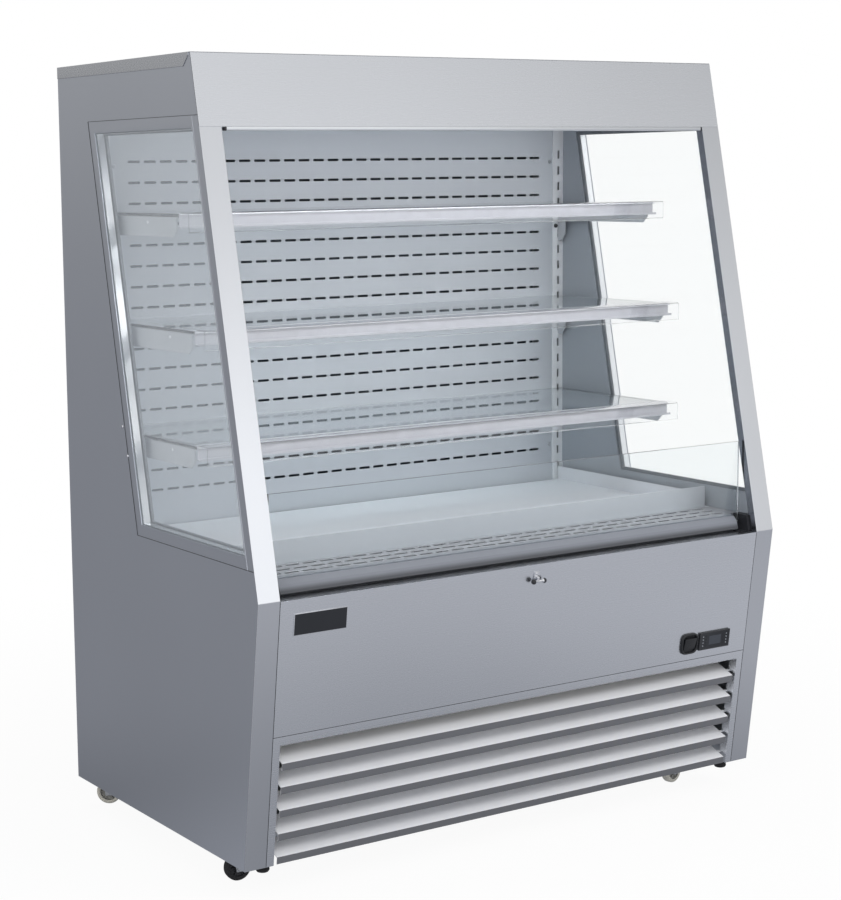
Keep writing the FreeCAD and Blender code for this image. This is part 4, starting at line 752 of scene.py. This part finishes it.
def make_price_rail(level):
    front, top = SHELF_LEVELS[level]
    wall = front - 0.8 * MM
    foot = top - 24 * MM
    back = strip([(front + 10 * MM, top + 1.2 * MM), (wall, top + 1.2 * MM), (wall, foot),
                  (wall - 9.5 * MM, foot - 0.6 * MM), (wall - 10 * MM, foot + 2.5 * MM)],
                 -RAIL_HALF, RAIL_HALF, 1.2 * MM)
    grip = strip([(wall + 0.6 * MM, top - 7 * MM), (front + 10 * MM, top - 7 * MM)],
                 -RAIL_HALF, RAIL_HALF, 0.9 * MM)
    face = front - 34 * MM
    cover = strip([(wall - 0.6 * MM, top + 1.8 * MM), (face + 4 * MM, top + 1.8 * MM),
                   (face + 1 * MM, top + 0.6 * MM), (face, top - 3 * MM), (face, top - 33 * MM),
                   (face + 1.6 * MM, top - 34.2 * MM)],
                  -RAIL_HALF + 2 * MM, RAIL_HALF, 1.1 * MM, 1)
    low_lip = strip([(wall - 2 * MM, top - 1.2 * MM), (wall - 7 * MM, top - 3.4 * MM)],
                    -RAIL_HALF, RAIL_HALF, 0.8 * MM)
    bm = gather([back, grip, cover, low_lip])
    return finish_piece("price_rail_strip_" + level, bm, [rail_white, rail_clear], "shelf_" + level,
                        ["price_rail_" + level], 50)


rails = [make_price_rail(level) for level in SHELF_LEVELS]
count(*rails)

# %% [markdown]
# ## Screws, plugs and the sensor
#
# Small fasteners make the size readable. One pan head is modelled with a socket in its crown, then it is laid
# at each place with its own direction. The heads of one kind are one piece.

# %% Screws
def screw_head(radius):
    crown = radius * 0.55
    return spun([(radius, 0), (radius * 0.97, crown * 0.35), (radius * 0.72, crown * 0.85),
                 (radius * 0.42, crown), (radius * 0.36, crown), (radius * 0.34, crown * 0.3),
                 (0, crown * 0.3)], 16)


def screws_at(places, radius):
    """Pan heads at (x, y, z, direction) places."""
    heads = []
    for x, y, z, direction in places:
        bm = screw_head(radius)
        turn = Vector(direction).to_track_quat("Z", "Y").to_matrix().to_4x4()
        shift(bm, Matrix.Translation((x, y, z)) @ turn)
        heads.append(bm)
    return gather(heads)


def both_sides(x, y, z, direction):
    dx, dy, dz = direction
    return [(x, y, z, direction), (-x, y, z, (-dx, dy, dz))]


LEFTWARDS, FORWARDS, BACKWARDS = (-1, 0, 0), (0, -1, 0), (0, 1, 0)
BACK_FACE = 0.370
SIDE_SCREWS = []
for along, height in ((0.126, 0.803), (0.108, 0.749)):
    SIDE_SCREWS += both_sides(-0.5994, along, height, LEFTWARDS)
PANEL_SCREWS = []
for height in (1.290, 0.660):
    PANEL_SCREWS += both_sides(-0.534, 0.260, height, FORWARDS)
REAR_SCREWS = []
for height in (0.09, 0.45, 0.85, 1.25, 1.45):
    REAR_SCREWS += both_sides(-0.585, BACK_FACE, height, BACKWARDS)
for across in (0.2, 0.4):
    for height in (1.45, 0.075):
        REAR_SCREWS += both_sides(-across, BACK_FACE, height, BACKWARDS)
side_screws = finish_piece("side_screws", screws_at(SIDE_SCREWS, 3.4 * MM), [polished], "cabinet")
panel_screws = finish_piece("panel_screws", screws_at(PANEL_SCREWS, 4.2 * MM), [galvanised], "cabinet")
rear_screws = finish_piece("rear_screws", screws_at(REAR_SCREWS, 4 * MM), [galvanised], "cabinet")
BRACKET_SCREWS = []
for along, height in ((0.0765, 1.1865), (-0.0011, 0.9785), (-0.0011, 0.7703)):
    BRACKET_SCREWS += both_sides(-0.558, along, height, LEFTWARDS)
bracket_screws = finish_piece("bracket_screws", screws_at(BRACKET_SCREWS, 3.2 * MM), [polished], "cabinet")
PROBE_PLACE = (0.549, 0.258, 1.149)
probe = spun([(4.5 * MM, 0), (4.5 * MM, 2.4 * MM), (3.6 * MM, 3.8 * MM), (1.6 * MM, 4.6 * MM),
              (0, 4.8 * MM)], 20)
shift(probe, Matrix.Translation(PROBE_PLACE) @ Matrix.Rotation(math.radians(90), 4, "X"))
probe_plug = finish_piece("probe_plug", probe, [black], "cabinet")
count(side_screws, panel_screws, rear_screws, bracket_screws, probe_plug)

# %% [markdown]
# ## Seams
#
# Where two sheets meet there is a narrow joint, and the shade in it draws the outline of every panel. That
# shade is painted: each seam is one dark bead laid along a line, and it needs its two ends and the way its
# face looks.

# %% Seams between the sheets
SEAM_WIDTH = 1.1 * MM
PANEL_HALF = 555.8 * MM
PANEL_FOOT = 302 * MM
SURROUND_LOW = 603 * MM
SURROUND_HIGH = 1374 * MM
SURROUND_REAR = 433 * MM            # behind the sloping front
FASCIA_LOW = 1356 * MM
FASCIA_HIGH = 1479 * MM


def bead(start, end, outward, width=SEAM_WIDTH, proud=0.15 * MM):
    along = Vector(end) - Vector(start)
    lengthways, out = along.normalized(), Vector(outward).normalized()
    across = out.cross(lengthways)
    bm = block((-width / 2, -0.4 * MM, 0), (width / 2, proud, along.length), 0.1 * MM, 1)
    shift(bm, Matrix.Translation(start) @ Matrix((across, out, lengthways)).transposed().to_4x4())
    return bm


def on_front(x, height):
    return (x, front_y(height), height)


def make_seams():
    lower_out = (0, -1, -LOWER_SLOPE)
    beads = [bead(on_front(-PANEL_HALF, PANEL_FOOT), on_front(PANEL_HALF, PANEL_FOOT), lower_out)]
    for side in (-1, 1):
        edge, skin = side * PANEL_HALF, side * SKIN_HALF
        beads.append(bead(on_front(edge, 62 * MM), on_front(edge, 548 * MM), lower_out))
        rear_low = (skin, front_y(SURROUND_LOW) + SURROUND_REAR, SURROUND_LOW)
        rear_high = (skin, front_y(SURROUND_HIGH) + SURROUND_REAR, SURROUND_HIGH)
        front_high = (skin, front_y(SURROUND_HIGH) + 4 * MM, SURROUND_HIGH)
        front_low = (skin, front_y(SURROUND_LOW) + 4 * MM, SURROUND_LOW)
        for start, end in ((rear_low, rear_high), (rear_high, front_high), (rear_low, front_low)):
            beads.append(bead(start, end, (side, 0, 0), 0.8 * MM, 0.25 * MM))
        ends = [(skin, front_y(height) + 1.2 * MM, height) for height in (FASCIA_LOW, FASCIA_HIGH)]
        beads.append(bead(*ends, (side, 0, 0), 1.0 * MM, 0.25 * MM))
    return finish_piece("panel_seams", gather(beads), [seam_shade], "cabinet")


seams = make_seams()
count(seams)

# %% [markdown]
# ## Controls on the lower panel
#
# The thermostat is a flat black module: a raised rim, a glossy window with a lighter display in it, and
# columns of small soft keys at both sides. The rocker sits under a rubber boot that rounds off its edges, in
# a soft rim. There is no lettering.

# %% Thermostat face
CONTROL_X = 468.5 * MM
CONTROL_Z = 337.2 * MM
CONTROL_PROUD = 1.6 * MM            # the face lies this far outside the slope
SWITCH_Z = 337 * MM


def make_thermostat():
    """The face is drawn lying in x and y; on_panel turns it to the slope."""
    half_x, half_y = 40 * MM, 18 * MM
    plate = block((-half_x, -half_y, 0), (half_x, half_y, 2.6 * MM), 0.7 * MM, 3)
    front = inset_front(plate, 2.6 * MM, 1)
    bmesh.ops.translate(plate, verts=front.verts, vec=(0, 0, -0.7 * MM))
    parts = [plate]
    display = block((-15 * MM, -9 * MM, 1.6 * MM), (17 * MM, 9.5 * MM, 2.15 * MM), 0.25 * MM, 1)
    paint(display, 2)
    parts.append(display)
    for column in (-30.5 * MM, -22.5 * MM, 24 * MM, 31 * MM):
        for row in (-9.5 * MM, -3.2 * MM, 3.2 * MM, 9.5 * MM):
            small = abs(column) > 30 * MM
            radius = 1.5 * MM if small else 2.0 * MM
            key = spun([(radius, 1.7 * MM), (radius * 0.9, 2.3 * MM), (0, 2.4 * MM)], 12)
            bmesh.ops.translate(key, verts=key.verts, vec=(column, row, 0))
            paint(key, 3 if small else 1)
            parts.append(key)
    bm = gather(parts)
    shift(bm, on_panel(CONTROL_X, CONTROL_Z) @ Matrix.Translation((0, 0, CONTROL_PROUD)))
    return finish_piece("thermostat_face", bm, [black, gloss_black, display_glass, key_grey], "cabinet")


thermostat = make_thermostat()
count(thermostat)

# %% Rocker boot
def make_boot():
    """A rubber boot over the rocker: two slopes that meet in a line across it, all edges soft."""
    low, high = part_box("switch_rocker")
    half_x = (high[0] - low[0]) / 2
    half_y = 12.2 * MM
    ridge, upper_edge, lower_edge = 5.2 * MM, 7.6 * MM, 2.8 * MM
    bm = bmesh.new()
    bmesh.ops.create_grid(bm, x_segments=2, y_segments=2, size=1)
    bmesh.ops.scale(bm, vec=(half_x, half_y, 1), verts=bm.verts)
    skirt = bmesh.ops.extrude_face_region(bm, geom=list(bm.faces))
    for vert in verts_of(skirt):
        slope_end = upper_edge if vert.co.y > 0 else lower_edge
        vert.co.z = ridge if abs(vert.co.y) < 1e-5 else slope_end
    bmesh.ops.recalc_face_normals(bm, faces=bm.faces)
    bmesh.ops.bevel(bm, geom=list(bm.edges), offset=1.1 * MM, affect="EDGES", segments=3, profile=0.5,
                    material=-1)
    shift(bm, on_panel((low[0] + high[0]) / 2, SWITCH_Z))
    return finish_piece("rocker_boot", bm, [rubber_gloss], "rocker", ["switch_rocker"], 60)


def make_hood():
    """The soft rim of the boot: rings of one rounded square, each with its own size and height."""
    low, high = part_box("switch_bezel")
    half = (high[0] - low[0]) / 2 - 1 * MM
    steps = 40
    section = ((1.0, 0.0), (1.0, 2.4), (0.985, 3.6), (0.95, 4.5), (0.90, 4.9), (0.85, 4.6), (0.82, 3.6),
               (0.81, 0.4))
    bm = bmesh.new()
    rings = []
    for share, height in section:
        ring = []
        for step in range(steps):
            angle = math.tau * step / steps
            across, along = math.cos(angle), math.sin(angle)
            stretch = half * share / (abs(across) ** 4 + abs(along) ** 4) ** 0.25
            ring.append(bm.verts.new((across * stretch, along * stretch, height * MM)))
        rings.append(ring)
    for inner, outer in zip(rings, rings[1:]):
        for step in range(steps):
            after = (step + 1) % steps
            bm.faces.new((inner[step], inner[after], outer[after], outer[step]))
    bm.faces.new(rings[-1])
    bmesh.ops.recalc_face_normals(bm, faces=bm.faces)
    shift(bm, on_panel((low[0] + high[0]) / 2, SWITCH_Z))
    return finish_piece("rocker_hood", bm, [rubber_gloss], "cabinet", ["switch_bezel"], 60)


boot = make_boot()
hood = make_hood()
count(boot, hood)

# %% [markdown]
# ## Badge and catch
#
# The plate stays bare: a black glossy field inside a thin bright rim. Under the top edge of the panel a small
# catch holds the curtain's bar at night. It is one turned bar with black ball ends on a short stem.

# %% Badge and catch
BADGE_X, BADGE_Z = -472.5 * MM, 504 * MM
CATCH_Z = 519 * MM


def make_badge():
    half_x, half_y = 54.5 * MM, 20 * MM
    bm = block((-half_x, -half_y, 0), (half_x, half_y, 1.6 * MM), 0.35 * MM, 2)
    inset_front(bm, 0.9 * MM, 1)
    shift(bm, on_panel(BADGE_X, BADGE_Z))
    return finish_piece("badge_blank", bm, [polished, gloss_black], "cabinet", ["badge_plate"])


def make_catch():
    ball, rod, half = 5 * MM, 2.3 * MM, 12 * MM
    outline = [(0, -half - ball)]
    for angle in range(-75, 61, 15):
        outline.append((ball * math.cos(math.radians(angle)), -half + ball * math.sin(math.radians(angle))))
    outline.append((rod, -half + ball * 0.95))
    outline += [(radius, -height) for radius, height in reversed(outline)]
    bar = spun(outline, 24)
    for face in bar.faces:
        if abs(face.calc_center_median().z) > half - rod:
            face.material_index = 1
    shift(bar, Matrix.Translation((0, 0, 8 * MM)) @ Matrix.Rotation(math.radians(90), 4, "Y"))
    foot = block((-7 * MM, 2 * MM, 0), (5 * MM, 17 * MM, 2 * MM), 0.6 * MM)
    stem = block((-3.6 * MM, -2 * MM, 1 * MM), (1.8 * MM, 8 * MM, 8 * MM), 0.9 * MM, 3)
    screw = screw_head(2.6 * MM)
    bmesh.ops.translate(screw, verts=screw.verts, vec=(-1 * MM, 13 * MM, 2 * MM))
    bm = gather([bar, foot, stem, screw])
    shift(bm, on_panel(0, CATCH_Z))
    return finish_piece("curtain_catch", bm, [polished, black], "cabinet", ["catch_hook"])


badge = make_badge()
catch = make_catch()
count(badge, catch)

# %% [markdown]
# ## Casters
#
# A caster wheel is a turned piece: a rounded tyre on a ribbed hub. The profile is half of the wheel's
# section, spun round the axle. Each wheel is then turned to where its fork trails. The left front wheel is
# black, and the other three have pale tyres on grey hubs.

# %% Caster wheels
CASTERS = {"front_left": (-0.520, -0.190, 173.7), "front_right": (0.520, -0.190, 192.5),
           "rear_left": (-0.520, 0.330, 144.5), "rear_right": (0.520, 0.330, 157.4)}
TRAIL = 27 * MM
AXLE = 25 * MM


def caster_turn(name):
    """From a caster that trails towards +x under the origin to its place under the tray."""
    x, y, angle = CASTERS[name]
    return Matrix.Translation((x, y, 0)) @ Matrix.Rotation(math.radians(angle), 4, "Z")


def make_wheel(name, tyre, hub):
    half = 9 * MM
    tread = [(17.5 * MM, half - 1 * MM), (19 * MM, half), (21.5 * MM, half), (23.6 * MM, half - 1.4 * MM),
             (24.7 * MM, half - 3.6 * MM), (25 * MM, 0)]
    tread += [(radius, -along) for radius, along in reversed(tread[:-1])]
    rubber_ring = spun(tread + [tread[0]], 48)
    core = [(4.4 * MM, 10.4 * MM), (7.4 * MM, 10.4 * MM), (8 * MM, 9.6 * MM), (8.6 * MM, 4 * MM),
            (16 * MM, 4.6 * MM), (16.6 * MM, 8 * MM), (18.4 * MM, 8 * MM)]
    core += [(radius, -along) for radius, along in reversed(core)]
    centre = spun(core + [core[0]], 48)
    ribs = []
    for turn in range(6):
        rib = block((8 * MM, -0.9 * MM, -7 * MM), (17 * MM, 0.9 * MM, 7 * MM), 0.3 * MM, 1)
        shift(rib, Matrix.Rotation(math.radians(60 * turn), 4, "Z"))
        ribs.append(rib)
    for bm in [centre] + ribs:
        paint(bm, 1)
    bm = gather([rubber_ring, centre] + ribs)
    upright = Matrix.Rotation(math.radians(90), 4, "X")
    shift(bm, caster_turn(name) @ Matrix.Translation((TRAIL, 0, AXLE)) @ upright)
    return finish_piece("wheel_" + name, bm, [tyre, hub], "wheel_" + name, ["caster_wheel_" + name])


def make_axle_bolt(name):
    """A domed head on one leg of the fork and a nut on the other."""
    head = spun([(4.4 * MM, 0), (4.4 * MM, 0.8 * MM), (3 * MM, 2 * MM), (0, 2.3 * MM)], 16)
    shift(head, Matrix.Translation((TRAIL, -15 * MM, AXLE)) @ Matrix.Rotation(math.radians(90), 4, "X"))
    nut = spun([(4.8 * MM, 0), (4.8 * MM, 1.8 * MM), (4.2 * MM, 2.3 * MM), (0, 2.3 * MM)], 6)
    shift(nut, Matrix.Translation((TRAIL, 15 * MM, AXLE)) @ Matrix.Rotation(math.radians(-90), 4, "X"))
    cup = spun([(6 * MM, 55.5 * MM), (16.5 * MM, 55.5 * MM), (18 * MM, 57 * MM), (18 * MM, 60 * MM),
                (16 * MM, 61.5 * MM), (16 * MM, 65.4 * MM), (6 * MM, 65.4 * MM)], 32)
    bm = gather([head, nut, cup])
    shift(bm, caster_turn(name))
    return finish_piece("axle_bolt_" + name, bm, [galvanised], "swivel_" + name)


BLACK_WHEEL = "front_left"
wheels = [make_wheel(name, *((rubber, black) if name == BLACK_WHEEL else (wheel_cream, hub_grey)))
          for name in CASTERS]
bolts = [make_axle_bolt(name) for name in CASTERS]
count(*wheels)
count(*bolts)

# %% Front pads
PAD_X, PAD_Y = 0.549, -0.282


def make_pads():
    """Two ribbed rubber feet under the front corners."""
    outline = [(0, 45 * MM), (9 * MM, 45 * MM), (10.5 * MM, 45.6 * MM), (12.5 * MM, 48.5 * MM),
               (12.5 * MM, 51 * MM), (11.6 * MM, 51.8 * MM), (11.6 * MM, 53 * MM), (12.5 * MM, 53.8 * MM),
               (12.5 * MM, 58.6 * MM), (11.5 * MM, 60 * MM), (4 * MM, 60 * MM), (4 * MM, 68 * MM),
               (0, 68 * MM)]
    pads = []
    for side in (-1, 1):
        bm = spun(outline, 32)
        bmesh.ops.translate(bm, verts=bm.verts, vec=(PAD_X * side, PAD_Y, 0))
        pads.append(bm)
    return finish_piece("corner_pads", gather(pads), [rubber], "cabinet", ["front_pads"])


pads = make_pads()
count(pads)

# %% [markdown]
# ## Night curtain
#
# The curtain is cloth: a coated sheet that winds on a sprung roller under the fascia. At rest only a short
# strip hangs from the roll to the pull bar, and it is pulled down over the open front at closing time. The
# hanging strip is a sheet of many rows from the roll down to the bar. The wound part is a roll with the spiral
# edge of its turns showing at both ends.

# %% Curtain cloth and roll
ROLL_CENTRE = Vector((0, -0.150, 1.410))
ROLL_RADIUS = 22 * MM
CLOTH_HALF = 535 * MM


def make_curtain():
    top = Vector((0, -0.1729, 1.4055))
    foot = Vector((0, -0.1936, 1.3602))
    rows = 24
    bm = bmesh.new()
    bmesh.ops.create_grid(bm, x_segments=40, y_segments=rows, size=1)
    for vert in bm.verts:
        along = (vert.co.y + 1) / 2
        point = foot.lerp(top, along)
        vert.co = Vector((vert.co.x * CLOTH_HALF, point.y, point.z))
    bmesh.ops.solidify(bm, geom=list(bm.faces), thickness=0.5 * MM)
    bmesh.ops.recalc_face_normals(bm, faces=bm.faces)
    piece = finish_piece("curtain_cloth", bm, [cloth], None, ["curtain"], 70)
    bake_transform(piece)
    return piece


def make_roll():
    """The wound cloth as one spiral strip of turns round a core tube, with end caps and pins."""
    turns, core = 7, 13 * MM
    steps = 28
    bm = bmesh.new()
    row = []
    for step in range(turns * steps + 1):
        share = step / (turns * steps)
        radius = core + (ROLL_RADIUS - 0.2 * MM - core) * share
        angle = math.tau * step / steps - math.radians(160)
        row.append(bm.verts.new((-CLOTH_HALF, ROLL_CENTRE.y + radius * math.cos(angle),
                                 ROLL_CENTRE.z + radius * math.sin(angle))))
    draw_out(bm, row, 2 * CLOTH_HALF)
    bmesh.ops.solidify(bm, geom=list(bm.faces), thickness=0.45 * MM)
    bmesh.ops.recalc_face_normals(bm, faces=bm.faces)
    tube_half, tube_radius = 540 * MM, 12.4 * MM
    tube = spun([(0, -tube_half), (tube_radius, -tube_half), (tube_radius, tube_half), (0, tube_half)], 40)
    pins = spun([(0, -569 * MM), (4.4 * MM, -569 * MM), (5 * MM, -568 * MM), (5 * MM, 568 * MM),
                 (4.4 * MM, 569 * MM), (0, 569 * MM)], 20)
    for part in (tube, pins):
        shift(part, Matrix.Translation(ROLL_CENTRE) @ Matrix.Rotation(math.radians(90), 4, "Y"))
        paint(part, 1)
    return finish_piece("curtain_roll_wound", gather([bm, tube, pins]), [cloth, alloy], "curtain_roll",
                        ["roller"], 50)


curtain = make_curtain()
roll = make_roll()
count(curtain, roll)

# %% [markdown]
# ## Pull bar
#
# An aluminium section with rounded edges and a black cap pressed on each end.

# %% Pull bar
BAR_HALF = 549 * MM
CAP_INNER, CAP_OUTER = 548 * MM, 553 * MM


def make_pull_bar():
    low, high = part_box("pull_bar")
    middle = (low[1] + high[1]) / 2
    bar = block((-BAR_HALF, low[1] + 0.2 * MM, low[2]), (BAR_HALF, high[1] - 0.2 * MM, low[2] + 7 * MM),
                1.4 * MM, 3)
    fin = block((-CLOTH_HALF, middle + 1.5 * MM, low[2] + 4 * MM),
                (CLOTH_HALF, middle + 2.9 * MM, high[2]), 0.2 * MM, 1)
    caps = []
    for side in (-1, 1):
        ends = sorted((CAP_INNER * side, CAP_OUTER * side))
        cap = block((ends[0], low[1], low[2] - 0.1 * MM), (ends[1], high[1], low[2] + 7.2 * MM), 1.8 * MM, 3)
        paint(cap, 1)
        caps.append(cap)
    return finish_piece("pull_bar_profile", gather([bar, fin] + caps), [alloy, black], "curtain_bar",
                        ["pull_bar"])


pull_bar = make_pull_bar()
count(pull_bar)

# %% [markdown]
# ## Soft edges on the folded sheets
#
# A real folded edge has a radius of a millimetre or so, and it catches a thin line of light. The frame's
# meshes are loose triangles, so each gets three modifiers: Weld joins the corners, Bevel rounds what is
# sharp, and Weighted Normal keeps the large faces flat. The bevel's limit is less than the 19.6 degrees of
# the fold in the side of the pillars, or the shading would smear across it.

# %% Edge modifiers
SHARP_FROM = math.radians(14)
SOFT_EDGES = {
    0.7: ["pillars", "fascia", "top_cover", "front_panel", "grille_frame", "riser_profile", "deck_pan"],
    0.45: ["side_skins", "grille_blades", "shelf_brackets", "end_cheeks", "controller",
           "brake_pedal_front_left", "brake_pedal_front_right", "return_grille", "shelf_glass_1",
           "shelf_glass_2", "shelf_glass_3", "riser_glass"],
}


def soften(node, width):
    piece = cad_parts[node]
    weld = piece.modifiers.new("weld", "WELD")
    weld.merge_threshold = 1e-5
    bevel = piece.modifiers.new("soft_edges", "BEVEL")
    bevel.width = width
    bevel.segments = 2
    bevel.limit_method = "ANGLE"
    bevel.angle_limit = SHARP_FROM
    bevel.use_clamp_overlap = True
    normals = piece.modifiers.new("even_faces", "WEIGHTED_NORMAL")
    normals.mode = "FACE_AREA"
    normals.weight = 100


for width, names in SOFT_EDGES.items():
    for name in names:
        soften(name, width * MM)
print("nodes with soft edges:", sum(len(names) for names in SOFT_EDGES.values()))
